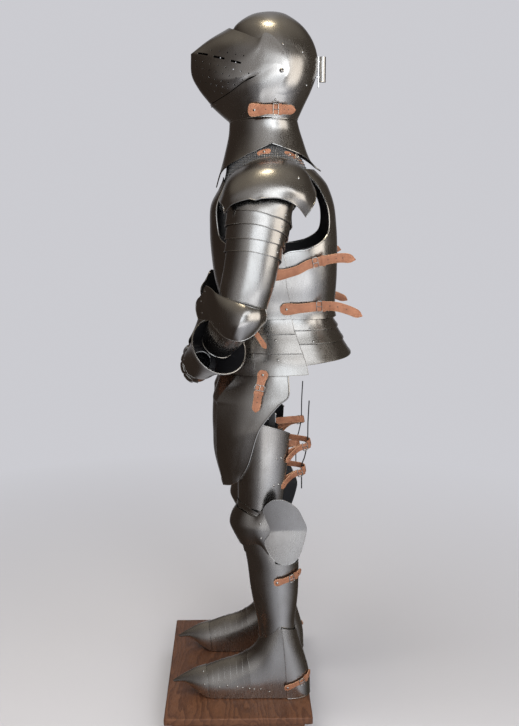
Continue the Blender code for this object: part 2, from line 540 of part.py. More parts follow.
def make_bevor(suit):
    sheet("bevor", patch(whole_rows(BEVOR), 19, 4), suit, inside=(0, 0.09, 1.60))


def make_neck(suit):
    form = level(NECK)
    sheet("neck_front", wrap(form, NECK_FRONT_ROWS, 0, 9, 7), suit, inside=(0, 0.09, 1.47))
    sheet("neck_back", wrap(form, NECK_BACK_ROWS, 180, 9, 7), suit, inside=(0, 0.09, 1.47))


def make_plume_tube(suit):
    """Small holder for a plume at the back of the skull: a tube on a flat bracket."""
    sizes = (("plume_tube", 0.0085, 1.629, 1.691), ("plume_bore", 0.0062, 1.620, 1.700))
    made = []
    for name, radius, low, high in sizes:
        round_bar = bmesh.new()
        bmesh.ops.create_cone(round_bar, cap_ends=True, segments=12, radius1=radius, radius2=radius,
                              depth=high - low)
        mesh = bpy.data.meshes.new(name)
        round_bar.to_mesh(mesh)
        round_bar.free()
        made.append(new_node(name, mesh, "steel", suit, (0, PLUME_Y, (low + high) / 2)))
    tube, bore = made
    bracket = box_node("plume_bracket", (-0.006, 0.2125, 1.614), (0.006, 0.2162, 1.6905), "steel", suit)
    combine(tube, [bracket], "UNION")
    combine(tube, [bore], "DIFFERENCE")


def make_mail(suit):
    """Mail cape over the shoulders, longer in front, worn under the plates."""
    form = level(MAIL_FORM)
    rows = []
    for z in (1.470, 1.462, 1.450, 1.430, 1.400, 1.350, 1.300):
        hem = 0.080 if z == 1.300 else 0.0
        rows.append([form.point(z - hem * max(0.0, math.cos(math.radians(turn))), turn)
                     for turn in np.linspace(0, 360, 21)])
    sheet("mail_mantle", rows, suit, "mail_steel", MAIL, inside=(0, 0.088, 1.36))


def make_cuirass(suit):
    form = level(TORSO)
    centre = (0, 0.1, 1.15)
    sheet("breastplate", wrap(form, BREAST_ROWS, 0, 15, 10), suit, inside=centre)
    sheet("backplate", wrap(form, BACK_ROWS, 180, 15, 11, out=-0.0035), suit, inside=centre)
    sheet("fauld", stepped(form, FAULD_LAMES, 0, 15), suit, inside=(0, 0.12, 0.96))
    sheet("culet", stepped(form, CULET_LAMES, 180, 13), suit, inside=(0, 0.12, 0.96))


def strap(name, side, sign, suit, path, widths, middle):
    sheet(name + side, ribbon(path, widths, middle), suit, "leather", LEATHER, sign, middle, flip=True)


def make_body_straps(side, sign, suit):
    path = [(0.0975, 0.031, 1.552), (0.1050, 0.060, 1.552), (0.1080, 0.083, 1.553),
            (0.1070, 0.101, 1.553), (0.1010, 0.122, 1.553), (0.0900, 0.149, 1.553)]
    strap("helmet_strap_", side, sign, suit, path, (0.030, 0.027, 0.024, 0.023, 0.023, 0.005),
          (0, 0.09, 1.55))
    path = [(0.124, -0.012, 1.380), (0.126, 0.016, 1.428), (0.126, 0.036, 1.448), (0.126, 0.062, 1.4595),
            (0.126, 0.088, 1.4615), (0.126, 0.114, 1.4595), (0.126, 0.142, 1.448), (0.125, 0.180, 1.402)]
    strap("shoulder_strap_", side, sign, suit, path, (0.026,), (0.126, 0.088, 1.34))
    form = level(TORSO)
    path = [form.point(z, turn, 0.003) for z, turn in ((1.148, 80), (1.151, 92), (1.160, 104), (1.174, 114))]
    tail = [(0.163, 0.235, 1.187), (0.165, 0.268, 1.190), (0.171, 0.297, 1.186)]
    strap("side_strap_upper_", side, sign, suit, path + [np.array(p) for p in tail],
          (0.024,) * 6 + (0.006,), (0, 0.1, 1.19))
    path = [form.point(z, turn, 0.004) for z, turn in ((1.062, 88), (1.063, 98), (1.065, 110), (1.067, 122))]
    tail = [(0.152, 0.245, 1.067), (0.159, 0.282, 1.058), (0.166, 0.317, 1.043)]
    strap("side_strap_lower_", side, sign, suit, path + [np.array(p) for p in tail],
          (0.024,) * 6 + (0.006,), (0, 0.1, 1.06))


def make_arm(side, sign, suit):
    form = level(UPPER_ARM)
    sheet("pauldron_" + side, patch(PAULDRON, 11, 6), suit, sign=sign, inside=(0.20, 0.08, 1.32))
    sheet("shoulder_lames_" + side, stepped(form, SHOULDER_LAMES, 90, 9), suit, sign=sign,
          inside=(0.235, 0.05, 1.26))
    turns = np.linspace(0, 360, 15)
    lows = [1.0835 - 0.0165 * math.cos(math.radians(turn - 180)) for turn in turns]
    rows = [[form.point(1.215 + (low - 1.215) * step, turn, -0.003) for turn, low in zip(turns, lows)]
            for step in (0, 0.35, 0.7, 1)]
    sheet("rerebrace_" + side, rows, suit, sign=sign, inside=(0.243, 0.035, 1.15))
    sheet("couter_" + side, patch(COUTER, 15, 5), suit, sign=sign, inside=(0.24, 0.0, 1.06))
    limbs = (("vambrace_", FOREARM, (0, 0.035, 0.07), 13),
             ("gauntlet_cuff_", CUFF, (0, 0.03, 0.07, 0.114), 15),
             ("gauntlet_hand_", FIST, (0, 0.03, 0.062, 0.090, 0.108, 0.113), 13))
    for name, table, keys, around in limbs:
        limb = across_axis(table, (0, 0, 1))
        rows = [[limb.point(key, turn) for turn in np.linspace(0, 360, around)] for key in keys]
        sheet(name + side, rows, suit, sign=sign)


def make_leg(side, sign, suit):
    torso = level(TORSO)
    rows = [[torso.point(z, turn, tuck) for turn in TASSET_TURNS] for z, tuck in TASSET_TOP]
    sheet("tasset_" + side, patch(rows + TASSET, 9, 9), suit, sign=sign, inside=(0.10, 0.08, 0.75))
    rows = [(0.775, 136.0, 0.735), (0.700, 136.0, 0.690), (0.620, 134.0, 0.615), (0.560, 132.0, 0.550),
            (0.545, 130.0, 0.516)]
    sheet("cuisse_" + side, wrap(level(THIGH), rows, CUISSE_FACING, 13, 5), suit, sign=sign,
          inside=(0.12, 0.07, 0.65))
    sheet("poleyn_" + side, patch(POLEYN, 15, 5), suit, sign=sign, inside=(0.13, 0.09, 0.487))
    shin = level(SHIN)
    rows = [(0.440, 92.0, 0.440), (0.380, 92.0, 0.380), (0.300, 92.0, 0.300), (0.240, 92.0, 0.240),
            (0.166, 92.0, 0.2085)]
    sheet("greave_front_" + side, wrap(shin, rows, 0, 11, 5), suit, sign=sign, inside=(0.13, 0.10, 0.30))
    rows = [(0.380, 92.0, 0.388), (0.330, 92.0, 0.335), (0.280, 92.0, 0.285), (0.235, 92.0, 0.240),
            (0.1925, 92.0, 0.2095)]
    sheet("greave_back_" + side, wrap(shin, rows, 180, 11, 5, out=-0.0032), suit, sign=sign,
          inside=(0.13, 0.10, 0.30))
    foot = whole_rows(SABATON) + np.array((SABATON_X, 0, 0))
    sheet("sabaton_" + side, patch(foot, 9, 9), suit, sign=sign, inside=(0.133, 0.06, 0.03))
    rows = [(0.002, 91.0, 0.002), (0.060, 91.0, 0.060), (0.120, 91.0, 0.130), (0.1885, 91.0, 0.2045)]
    sheet("heel_plate_" + side, wrap(level(HEEL), rows, 180, 11, 4), suit, sign=sign,
          inside=(0.133, 0.10, 0.10))


def make_leg_straps(side, sign, suit):
    path = [(0.2065, 0.068, 0.910), (0.2070, 0.060, 0.880), (0.2075, 0.053, 0.852), (0.2060, 0.046, 0.803)]
    strap("tasset_strap_", side, sign, suit, path, (0.022, 0.022, 0.020, 0.008), (0.05, 0.055, 0.855))
    thigh = level(THIGH)
    for name, z, back in CUISSE_STRAPS:
        path = [thigh.point(z + 0.036, 250, -0.0110), thigh.point(z + 0.036, 232, -0.0135),
                (0.098, back - 0.038, z + 0.036), (0.110, back - 0.010, z + 0.034),
                (0.125, back, z + 0.031), (0.138, back - 0.010, z + 0.026), (0.144, back - 0.036, z + 0.018),
                thigh.point(z + 0.004, 147, -0.0140), thigh.point(z, 133, -0.0110)]
        strap("cuisse_strap_" + name, side, sign, suit, path, (0.019,), (0.12, back - 0.07, z + 0.02))
    wire = [(WIRE_X, y, z) for y, z in TIE_WIRE]
    tube("tie_wire_" + side, wire, WIRE_RADIUS, suit, sign)
    shin = level(SHIN)
    path = [shin.point(0.338 + 0.018 * k / 5, 84 + 17 * k, 0.003) for k in range(6)]
    strap("greave_strap_", side, sign, suit, path, (0.016,) * 5 + (0.008,), (0.129, 0.10, 0.347))


def start():
    """Clear the scene and make the collections and the empty that carries the suit."""
    for old in list(bpy.data.objects):
        bpy.data.objects.remove(old)
    for name in (OBJECT_NAME, CUTTERS):
        group = bpy.data.collections.new(name)
        bpy.context.scene.collection.children.link(group)
    suit = bpy.data.objects.new("suit", None)
    suit.location = (SUIT_SHIFT_X, 0, BASE_HEIGHT)
    bpy.data.collections[OBJECT_NAME].objects.link(suit)
    return suit


def main():
    suit = start()
    make_base()
    make_stand_frame(suit)
    make_skull(suit)
    make_visor(suit)
    make_bevor(suit)
    make_neck(suit)
    make_plume_tube(suit)
    make_mail(suit)
    make_cuirass(suit)
    for side, sign in (("left", 1), ("right", -1)):
        make_body_straps(side, sign, suit)
        make_arm(side, sign, suit)
        make_leg(side, sign, suit)
        make_leg_straps(side, sign, suit)


main()
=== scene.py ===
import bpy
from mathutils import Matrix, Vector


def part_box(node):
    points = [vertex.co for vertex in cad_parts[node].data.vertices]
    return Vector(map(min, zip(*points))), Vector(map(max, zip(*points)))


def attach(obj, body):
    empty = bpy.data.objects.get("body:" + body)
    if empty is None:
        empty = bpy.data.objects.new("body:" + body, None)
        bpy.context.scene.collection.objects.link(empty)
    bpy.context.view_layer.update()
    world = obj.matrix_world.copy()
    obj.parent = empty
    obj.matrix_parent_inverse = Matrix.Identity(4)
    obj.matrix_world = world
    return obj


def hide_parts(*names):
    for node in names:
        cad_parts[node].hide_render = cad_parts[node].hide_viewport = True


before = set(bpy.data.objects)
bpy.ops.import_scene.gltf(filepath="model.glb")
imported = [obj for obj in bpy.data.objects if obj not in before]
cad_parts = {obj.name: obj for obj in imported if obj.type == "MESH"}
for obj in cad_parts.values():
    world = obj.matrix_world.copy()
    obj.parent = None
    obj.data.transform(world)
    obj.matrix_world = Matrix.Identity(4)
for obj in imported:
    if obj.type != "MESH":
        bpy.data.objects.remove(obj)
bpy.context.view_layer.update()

# Suit of plate armour on a display stand: every plate, strap, buckle and ring round the CAD frame.
# The tables, and rows given to metres, wrap and lames, are in millimetres and degrees. All else is in
# metres, in the suit's own frame, which stands on the base board, centred on the stand.
import math

import bmesh
import bpy
import numpy as np
from mathutils import Vector
from mathutils.bvhtree import BVHTree
from mathutils.kdtree import KDTree

post_low, post_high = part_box("stand_frame")
board_low, board_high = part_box("base_board")
plinth_low, plinth_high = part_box("base_plinth")
ORIGIN = np.array([(post_low.x + post_high.x) / 2, (board_low.y + board_high.y) / 2, board_high.z])

PLATE = 0.0016
LAME = 0.0014
THIN = 0.0012
LEATHER_THICK = 0.0026
THIN_LEATHER = 0.0022
RIVET = 0.0034
SMALL_RIVET = 0.0030
# EDGE faces take brighter steel that is partly polish, partly a painted highlight.
# INSIDE faces take a near-black finish that is painted shade for the dark inside the plates.
STEEL, INSIDE, EDGE, LEATHER, CUT, BLACK, GLOVE, MAIL = range(8)
MIRRORS = np.array([(1, 1, 1), (-1, 1, 1)])


# Forms and grids

def metres(rows):
    """Lengths from a table."""
    return np.array(rows, float) / 1000


def spline(points, at, breaks=()):
    """Points at fractional indices along a smooth line that turns sharply at the breaks."""
    points, at = np.asarray(points, float), np.asarray(at, float)
    marks = [0, *breaks, len(points) - 1]
    out = np.zeros(at.shape + points.shape[1:])
    for low, high in zip(marks, marks[1:]):
        run = points[low:high + 1]
        ends = np.concatenate([2 * run[:1] - run[1:2], run, 2 * run[-1:] - run[-2:-1]])
        local = np.clip(at - low, 0, high - low)
        k = np.minimum(local.astype(int), high - low - 1)
        t = (local - k).reshape(k.shape + (1,) * (points.ndim - 1))
        a, b, c, d = (ends[k + n] for n in range(4))
        curve = 0.5 * (2 * b + (c - a) * t + (2 * a - 5 * b + 4 * c - d) * t * t
                       + (3 * b - a - 3 * c + d) * t ** 3)
        chosen = (at >= low) & (at <= high)
        out[chosen] = curve[chosen]
    return out


def patch(rows, across, down, folds=(), low=0.0, high=None, ridges=()):
    """Grid of points through guide rows; folds are rows with a sharp crease, ridges are columns with one."""
    rows = np.array(rows, float)
    places = np.linspace(0, rows.shape[1] - 1, across)
    for ridge in ridges:
        places[np.abs(places - ridge).argmin()] = ridge
    guides = spline(rows.transpose(1, 0, 2), places, ridges).transpose(1, 0, 2)
    steps = np.linspace(low, len(rows) - 1 if high is None else high, down)
    for fold in folds:
        steps[np.abs(steps - fold).argmin()] = fold
    return spline(guides, steps, folds)


def whole_rows(rows):
    """Rows given from the middle line outward, with their mirror image in front of them."""
    return np.concatenate([(rows * MIRRORS[1])[:, :0:-1], rows], axis=1)


def unit(vectors):
    vectors = np.asarray(vectors, float)
    return vectors / np.maximum(np.linalg.norm(vectors, axis=-1, keepdims=True), 1e-12)


def run_along(path):
    """Distance of each point from the start of a path."""
    return np.concatenate([[0], np.cumsum(np.linalg.norm(np.diff(path, axis=0), axis=1))])


def round_turns(count):
    return np.linspace(0, 2 * math.pi, count, endpoint=False)


class Form:
    """Smooth body that plates wrap. Angle 0 points along front, 90 along side."""

    def __init__(self, rows, front, side):
        rows = np.array(rows, float)
        self.keys, self.rows = rows[:, 0], rows[:, 1:]
        self.front, self.side = np.array(front, float), np.array(side, float)

    def row(self, key):
        """Centre, four reaches and powers of the section at a key."""
        return spline(self.rows, np.interp(key, self.keys, np.arange(len(self.keys))))

    def at(self, key, turn):
        key, turn = np.broadcast_arrays(np.asarray(key, float), np.asarray(turn, float))
        row = self.row(key)
        c, s = np.cos(np.radians(turn)), np.sin(np.radians(turn))
        ahead = np.where(c > 0, row[..., 3], row[..., 4])
        aside = np.where(s > 0, row[..., 5], row[..., 6])
        n = np.where(c > 0, row[..., 7], row[..., 8]) if row.shape[-1] > 7 else 2.0
        r = (np.abs(c / ahead) ** n + np.abs(s / aside) ** n) ** (-1.0 / n)
        return row[..., :3] + self.front * (c * r)[..., None] + self.side * (s * r)[..., None]

    def out_from(self, key, turn, lift):
        """Points lifted off the form along its normal."""
        step, sweep = 0.002, 1.0
        point = self.at(key, turn)
        low, high = np.maximum(key - step, self.keys[0]), np.minimum(key + step, self.keys[-1])
        along = self.at(high, turn) - self.at(low, turn)
        normal = unit(np.cross(along, self.at(key, turn + sweep) - self.at(key, turn - sweep)))
        normal *= np.sign((normal * (point - self.row(key)[..., :3])).sum(-1, keepdims=True))
        return point + normal * np.asarray(lift, float)[..., None]

    def drape(self, y, z, lift=0.0):
        """Point of a level form's left side at a given y and z."""
        row = self.row(z)
        ahead = np.where(y < row[..., 1], row[..., 3], row[..., 4])
        power = np.where(y < row[..., 1], row[..., 7], row[..., 8])
        inside = np.clip(1 - np.abs((y - row[..., 1]) / ahead) ** power, 0.0, 1)
        return np.stack([row[..., 0] + row[..., 5] * inside ** (1 / power) + lift, y, z], axis=-1)


def level(table, centre=(), powers=()):
    """Form with level sections; centre and powers are what all its rows share."""
    rows = []
    for row in table:
        row = (row[0], *centre, *row[1:], *powers)
        z, x, y0, y1, mid, half = metres(row[:6])
        rows.append((z, x, mid, z, mid - y0, y1 - mid, half, half, *row[6:]))
    return Form(rows, (0, -1, 0), (1, 0, 0))


def across_axis(table):
    """Form whose sections stand square to a straight limb; angle 0 is the upper side."""
    rows = metres([(*row, *row[-1:] * (8 - len(row))) for row in table])
    axis = unit(rows[-1, 1:4] - rows[0, 1:4])
    up = np.array((0.0, 0.0, 1.0))
    up = unit(up - axis * np.dot(up, axis))
    return Form(rows, up, np.cross(up, axis))


def wrap(form, rows, facing, across, down, out=0.0):
    """Grid on a form from (middle key, angle to either edge, edge key[, offset, power]) rows."""
    s = np.linspace(-1, 1, 17)
    guides = []
    for mid, wide, end, *more in rows:
        mid, end = metres((mid, end))
        lift, power = (more[0] / 1000, more[1]) if more else (out, 2.0)
        guides.append(np.stack([facing + wide * s, mid + (end - mid) * np.abs(s) ** power,
                                np.full(17, lift)], axis=-1))
    spread = patch(guides, across, down)
    return form.out_from(spread[..., 1], spread[..., 0], spread[..., 2])


def normals_of(grid, inside, closed=False):
    if closed:
        ring = np.concatenate([grid[:, -2:-1], grid, grid[:, 1:2]], axis=1)
        across = ring[:, 2:] - ring[:, :-2]
    else:
        across = np.gradient(grid, axis=1)
    found = unit(np.cross(across, np.gradient(grid, axis=0)))
    away = grid - np.array(inside, float)
    if (found * away).sum() < 0:
        found = -found
    weak = np.linalg.norm(found, axis=-1) < 0.5
    found[weak] = unit(away[weak])
    return found


def tube_faces(count, sides, closed=False):
    """Quads between rings of points."""
    return [(k * sides + n, k * sides + (n + 1) % sides, (k + 1) % count * sides + (n + 1) % sides,
             (k + 1) % count * sides + n)
            for k in range(count if closed else count - 1) for n in range(sides)]


class Part:
    """A mesh being put together: points, faces and the material number of every face."""

    def __init__(self):
        self.points, self.faces, self.slots, self.count = [], [], [], 0
        self.outer = []

    def add(self, points, faces, slot):
        points = np.asarray(points, float).reshape(-1, 3)
        self.faces += [tuple(i + self.count for i in face) for face in faces]
        self.slots += [slot] * len(faces) if isinstance(slot, int) else list(slot)
        self.points.append(points)
        self.count += len(points)

    def shell(self, grid, inside, wall=PLATE, closed=False, slots=(STEEL, INSIDE, EDGE), rims=()):
        """Plate with a true wall under a grid of outer points; rims are (side, radius) rolled edges."""
        grid = np.asarray(grid, float)
        normals = normals_of(grid, inside, closed)
        outer = grid.reshape(-1, 3)
        half = len(outer)
        index = np.arange(half).reshape(grid.shape[:2])
        corners = (index[:-1, :-1], index[:-1, 1:], index[1:, 1:], index[1:, :-1])
        quads = np.stack(corners, axis=-1).reshape(-1, 4)
        a, b, c = (outer[quads[:, n]] for n in range(3))
        if (np.cross(b - a, c - a) * normals.reshape(-1, 3)[quads[:, 0]]).sum() < 0:
            quads = quads[:, ::-1]
        borders = [line.tolist() for line in (index[:, 0], index[-1], index[::-1, -1], index[0, ::-1])]
        walls = [(p + half, q + half, q, p) for line in (borders[1::2] if closed else borders)
                 for p, q in zip(line, line[1:])]
        quads = quads.tolist()
        inner = [[i + half for i in q[::-1]] for q in quads]
        self.add(np.concatenate([outer, (grid - normals * wall).reshape(-1, 3)]), quads + inner + walls,
                 [slots[0]] * len(quads) + [slots[1]] * len(inner) + [slots[2]] * len(walls))
        self.outer.append((outer, quads))
        edges = {"top": grid[0], "bottom": grid[-1], "left": grid[:, 0], "right": grid[:, -1],
                 "around": np.concatenate([grid[0], grid[1:, -1], grid[-1, -2::-1], grid[-2:0:-1, 0]])}
        for side, radius in rims:
            line = edges[side]
            self.tube(line, radius(line) if callable(radius) else radius, slots[2],
                      closed=closed or side == "around")
        return normals

    def tube(self, path, radius, slot, sides=8, closed=False):
        """Round wire along a path; its ends are closed."""
        path = np.asarray(path, float)
        path = path[np.concatenate([[True], np.linalg.norm(np.diff(path, axis=0), axis=1) > 1e-6])]
        if closed and np.linalg.norm(path[0] - path[-1]) < 1e-6:
            path = path[:-1]
        ahead = unit(np.roll(path, -1, 0) - np.roll(path, 1, 0) if closed else np.gradient(path, axis=0))
        side = unit(np.cross(ahead[0], (0.3, 0.5, 0.8)))
        turns = round_turns(sides)
        rings = []
        for point, along, r in zip(path, ahead, np.broadcast_to(np.asarray(radius, float), (len(path),))):
            side = unit(side - along * np.dot(side, along))
            rings.append(point + r * (np.outer(np.cos(turns), side)
                                      + np.outer(np.sin(turns), np.cross(along, side))))
        faces = tube_faces(len(rings), sides, closed)
        if not closed:
            faces += [tuple(range(sides))[::-1], tuple((len(rings) - 1) * sides + n for n in range(sides))]
        self.add(np.array(rings), faces, slot)

    def dome(self, at, normal, radius=RIVET, height=0.6, slot=EDGE, sides=12):
        """Rivet head: a low turned dome with a small flat brim."""
        normal = unit(normal)
        side = unit(np.cross(normal, (0.31, 0.52, 0.79)))
        turns = round_turns(sides)
        circle = np.outer(np.cos(turns), side) + np.outer(np.sin(turns), np.cross(normal, side))
        profile = ((1.0, -0.25), (1.0, 0.12), (0.93, 0.30), (0.72, 0.62), (0.42, 0.88), (0.14, 0.99))
        rings = [np.asarray(at) + circle * radius * r + normal * radius * height * h for r, h in profile]
        faces = tube_faces(len(profile), sides)
        faces += [tuple((len(profile) - 1) * sides + n for n in range(sides)), tuple(range(sides))[::-1]]
        self.add(np.array(rings), faces, slot)

    def touch(self, y, z):
        """Point and normal where a line in from the left side first meets the outer faces."""
        hits = [BVHTree.FromPolygons(points.tolist(), quads).ray_cast(Vector((1.0, y, z)), Vector((-1, 0, 0)))
                for points, quads in self.outer]
        place, normal, _, _ = min((hit for hit in hits if hit[0] is not None), key=lambda hit: hit[3])
        return np.array(place), np.array(normal)

    def rivets(self, places, radius=RIVET, both=False):
        """Rivet heads at y and z, on the left side or on both."""
        for y, z in places:
            place, normal = self.touch(y, z)
            for mirror in MIRRORS[:1 + both]:
                self.dome(place * mirror, normal * mirror, radius)

    def make(self, name, body="suit", in_cad=True, slot="plate_steel", sign=1, bend=32.0):
        """Object from the gathered mesh, on its CAD body; sign -1 mirrors it to the right side."""
        mesh = bpy.data.meshes.new(name)
        points = np.concatenate(self.points) * (sign, 1, 1) + ORIGIN
        faces = self.faces if sign > 0 else [face[::-1] for face in self.faces]
        mesh.from_pydata(points.tolist(), [], faces)
        used = sorted(set(self.slots))
        for number in used:
            mesh.materials.append(FINISH[number])
        mesh.polygons.foreach_set("material_index", [used.index(number) for number in self.slots])
        skin = bmesh.new()
        skin.from_mesh(mesh)
        bmesh.ops.remove_doubles(skin, verts=skin.verts, dist=0.000004)
        for edge in skin.edges:
            if len(edge.link_faces) == 2 and edge.calc_face_angle(0) > math.radians(bend):
                edge.smooth = False
        for face in skin.faces:
            face.smooth = True
        skin.to_mesh(mesh)
        skin.free()
        made = bpy.data.objects.new(name, mesh)
        bpy.context.scene.collection.objects.link(made)
        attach(made, body)
        if in_cad:
            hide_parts(name)
        return made

    def sides(self, name, slot="plate_steel", in_cad=True):
        """The piece and its mirror image, for the left and the right side."""
        for side, sign in (("left", 1), ("right", -1)):
            self.make("%s_%s" % (name, side), in_cad=in_cad, slot=slot, sign=sign)


# Tables

# Level forms: z, centre x, front y, back y, y of the widest line, half width, front and back squareness.
# A form on the middle line has no centre x here, and one that keeps its squareness has none in its rows.
TORSO = level([
    (885, -54, 328, 122, 192, 2.2, 2.6), (923, -52, 322, 122, 186, 2.2, 2.6),
    (948, -50, 310, 120, 178, 2.2, 2.6), (974, -47, 296, 118, 169, 2.2, 2.6),
    (1006, -43, 280, 115, 158, 2.3, 2.6), (1035, -40, 267, 115, 153, 2.5, 2.7),
    (1070, -42, 265, 115, 155, 2.7, 2.8), (1130, -58, 268, 110, 166, 2.9, 2.9),
    (1206, -67, 268, 105, 172, 3, 3), (1260, -69, 265.5, 100, 166, 3.1, 3),
    (1316, -66, 259, 95, 155, 3.2, 3), (1360, -44, 245, 92, 142, 2.8, 2.8),
    (1385, -34, 230, 90, 133, 2.5, 2.6), (1420, -28, 196, 90, 115, 2.4, 2.3),
], centre=(0,))
NECK = level([
    (1360, -52, 262, 90, 152, 2.9, 2.2), (1386, -45, 240, 90, 143, 2.7, 2.2),
    (1406, -40, 224, 90, 133, 2.5, 2.2), (1420, -36, 206, 90, 122, 2.3, 2.2),
    (1445, -29.5, 191, 88, 108, 2.2, 2.1), (1491, -19, 175, 87, 94, 2.1, 2),
    (1526, -16, 163, 86, 88, 2, 2), (1560, -16.5, 157, 85, 87.5, 2, 2),
], centre=(0,))
MAIL_FORM = level([
    (1200, -52, 215, 88, 160, 2.2, 2), (1300, -50, 218, 88, 182, 2.2, 2),
    (1350, -40, 208, 88, 183, 2.2, 2), (1390, -27.5, 192, 88, 174, 1.9, 2),
    (1420, -24, 178, 88, 155, 1.7, 2), (1438, -18, 168, 88, 134, 1.6, 2),
    (1450, -10, 154, 88, 116, 1.5, 2), (1462, 10, 144, 88, 94, 1.6, 2), (1470, 34, 138, 88, 78, 2, 2),
], centre=(0,))
SKULL = level([
    (1533.5, -40, 160, 94, 84), (1570, -40, 177, 94, 94), (1610, -30, 196, 95, 104),
    (1650, -12, 209, 95, 107), (1690, -18, 210, 95, 105), (1730, -14, 197, 95, 96),
    (1765, -1, 171, 93, 76), (1790, 34, 136, 88, 46), (1798.5, 66, 112, 89, 20),
    (1800, 89.8, 90.2, 90, 0.2),
], centre=(0,), powers=(2, 2))
UPPER_ARM = level([
    (1060, 249, -50, 74, 12, 45), (1090, 249, -48, 82, 17, 46), (1126, 248, -43, 94, 26, 48),
    (1170, 245, -34, 104, 35, 50), (1210, 241, -28, 112, 42, 52), (1240, 238, -25, 120, 47, 53),
    (1270, 235, -23, 128, 52, 54), (1300, 232, -21, 134, 56, 54), (1320, 231, -21, 146, 59, 54),
    (1340, 229, -20, 162, 62, 52), (1380, 224, -10, 168, 66, 46),
], powers=(2.1, 2.1))
THIGH = level([
    (510, 126, 4, 125, 64, 56), (560, 124, 2, 130, 66, 58), (620, 122, 1, 138, 70, 61),
    (700, 119, 0, 146, 73, 64), (780, 116, -4, 150, 75, 66),
], powers=(2.1, 2))
SHIN = level([
    (150, 132, 58, 160, 112, 42), (206, 131, 53, 157, 110, 44), (252, 130, 44, 162, 107, 50),
    (307, 129, 34, 166, 103, 55), (380, 128, 25, 166, 98, 57), (430, 127, 14, 158, 90, 55),
    (460, 127, 6, 150, 85, 53),
], powers=(2, 2))
HEEL = level([
    (2, 133, 60, 197, 133, 47.5, 2.3, 2.3), (52, 133, 60, 195, 131, 49, 2.2, 2.2),
    (100, 133, 60, 184, 128, 49, 2.1, 2.1), (150, 133, 60, 168, 124, 48.2, 2, 2),
    (190, 132, 56, 157.5, 119, 45.5, 2, 2), (206, 132, 54, 154.5, 118, 43.5, 2, 2),
])
# Round forms along the forearm: distance along it, centre x y z, radius.
FOREARM = across_axis([
    (0, 220, -17, 1027, 51.5), (25, 204, -28, 1008, 49.5), (50, 188, -39, 990, 46),
    (70, 175, -48, 974, 41.5),
])
CUFF = across_axis([
    (0, 200, -44, 973, 74), (30, 178, -58, 958, 63), (70, 149, -77, 938, 52), (114, 117, -96, 916, 46),
])
# Across the fist: distance, centre x y z, reach up, down, forward, rearward.
FIST = across_axis([
    (0, 118, -92, 919, 31, 31, 30, 30), (30, 88, -100, 911, 36, 40, 37, 33),
    (62, 56, -104, 902, 46, 54, 45, 43), (90, 28, -104, 901, 44, 52, 44, 43),
    (108, 11, -104, 900, 30, 36, 31, 30), (113, 6, -104, 900, 0.3, 0.3, 0.3, 0.3),
])

# Guide rows, each from the middle line outward; the other half is their mirror image.
VISOR = metres([
    [(0, -17, 1760), (41, -8, 1753), (76.5, 19, 1739), (98.5, 56, 1723.5), (100.5, 74, 1736.5),
     (104, 98, 1723), (109, 118, 1697), (111.5, 127.5, 1679.5)],
    [(0, -68, 1731), (42, -52, 1725), (78, -12, 1712), (101.5, 40, 1698), (106.5, 65, 1701),
     (109.5, 90, 1695), (111.5, 116, 1681), (112, 130.5, 1665)],
    [(0, -114, 1697), (34, -90, 1692), (66, -50, 1681), (93, 0, 1668), (106, 46, 1660), (111, 78, 1662),
     (112.5, 110, 1658), (112, 133, 1652)],
    [(0, -113, 1646), (40, -95, 1642), (76, -52, 1636), (98, 0, 1632), (107, 42, 1642), (111, 75, 1646),
     (112, 105, 1647), (112, 132, 1643)],
    [(0, -94, 1608), (42, -78, 1607), (76, -38, 1607), (96, 8, 1619), (106, 43, 1637), (111, 72, 1640),
     (112, 100, 1637), (112, 126, 1633)],
    [(0, -66, 1573), (45, -50, 1578), (80, -15, 1597), (99.5, 20, 1621), (106, 44, 1633),
     (111, 70, 1635), (112, 95, 1629), (112, 116, 1628)],
])
BEVOR = metres([
    [(0, -66, 1570.5), (45, -51, 1575.5), (80, -16, 1594), (102.5, 20, 1617.5), (113, 46, 1630),
     (117, 75, 1648), (117.5, 100, 1662), (116.5, 127, 1650)],
    [(0, -52, 1557), (45, -40, 1563), (78, -8, 1577), (101.5, 26, 1597), (112.5, 52, 1612),
     (117, 78, 1622), (117.5, 100, 1629), (115.5, 120, 1628)],
    [(0, -33, 1540), (44, -22, 1547), (74, 4, 1557), (95, 34, 1570), (105, 55, 1580), (109, 74, 1588),
     (110, 88, 1590), (109, 99, 1590)],
    [(0, -16, 1526), (42, -4, 1529), (68, 22, 1533), (82, 46, 1536), (88, 62, 1537), (89.5, 74, 1537),
     (90, 83, 1537), (89.5, 92, 1536)],
])
SABATON = metres([
    [(0, -179, 36), (1, -179, 35.5), (2, -178, 34), (2.5, -176.5, 33), (2.5, -176, 32)],
    [(0, -150, 53), (6, -149, 51), (11, -147, 46), (14, -144, 40), (14, -142, 35)],
    [(0, -115, 71), (13, -114, 64), (25, -112, 48), (30, -108, 30), (30, -106, 16)],
    [(0, -85, 80), (17, -84, 72), (32, -82, 52), (38, -78, 27), (38, -76, 3)],
    [(0, -45, 95), (18, -43, 85), (34, -40, 60), (41, -37, 30), (41, -35, 2)],
    [(0, 6, 111), (20, 6, 101), (36, 8, 75), (42, 12, 35), (42, 14, 2)],
    [(0, 42, 134), (23, 45, 128), (39, 55, 100), (44, 62, 50), (43, 62, 2)],
    [(0, 53, 150), (25, 66, 160), (42, 88, 140), (44.5, 100, 70), (43.5, 102, 2)],
    [(0, 65, 172), (26, 80, 188), (39, 116, 200), (44, 136, 90), (43, 140, 2)],
])

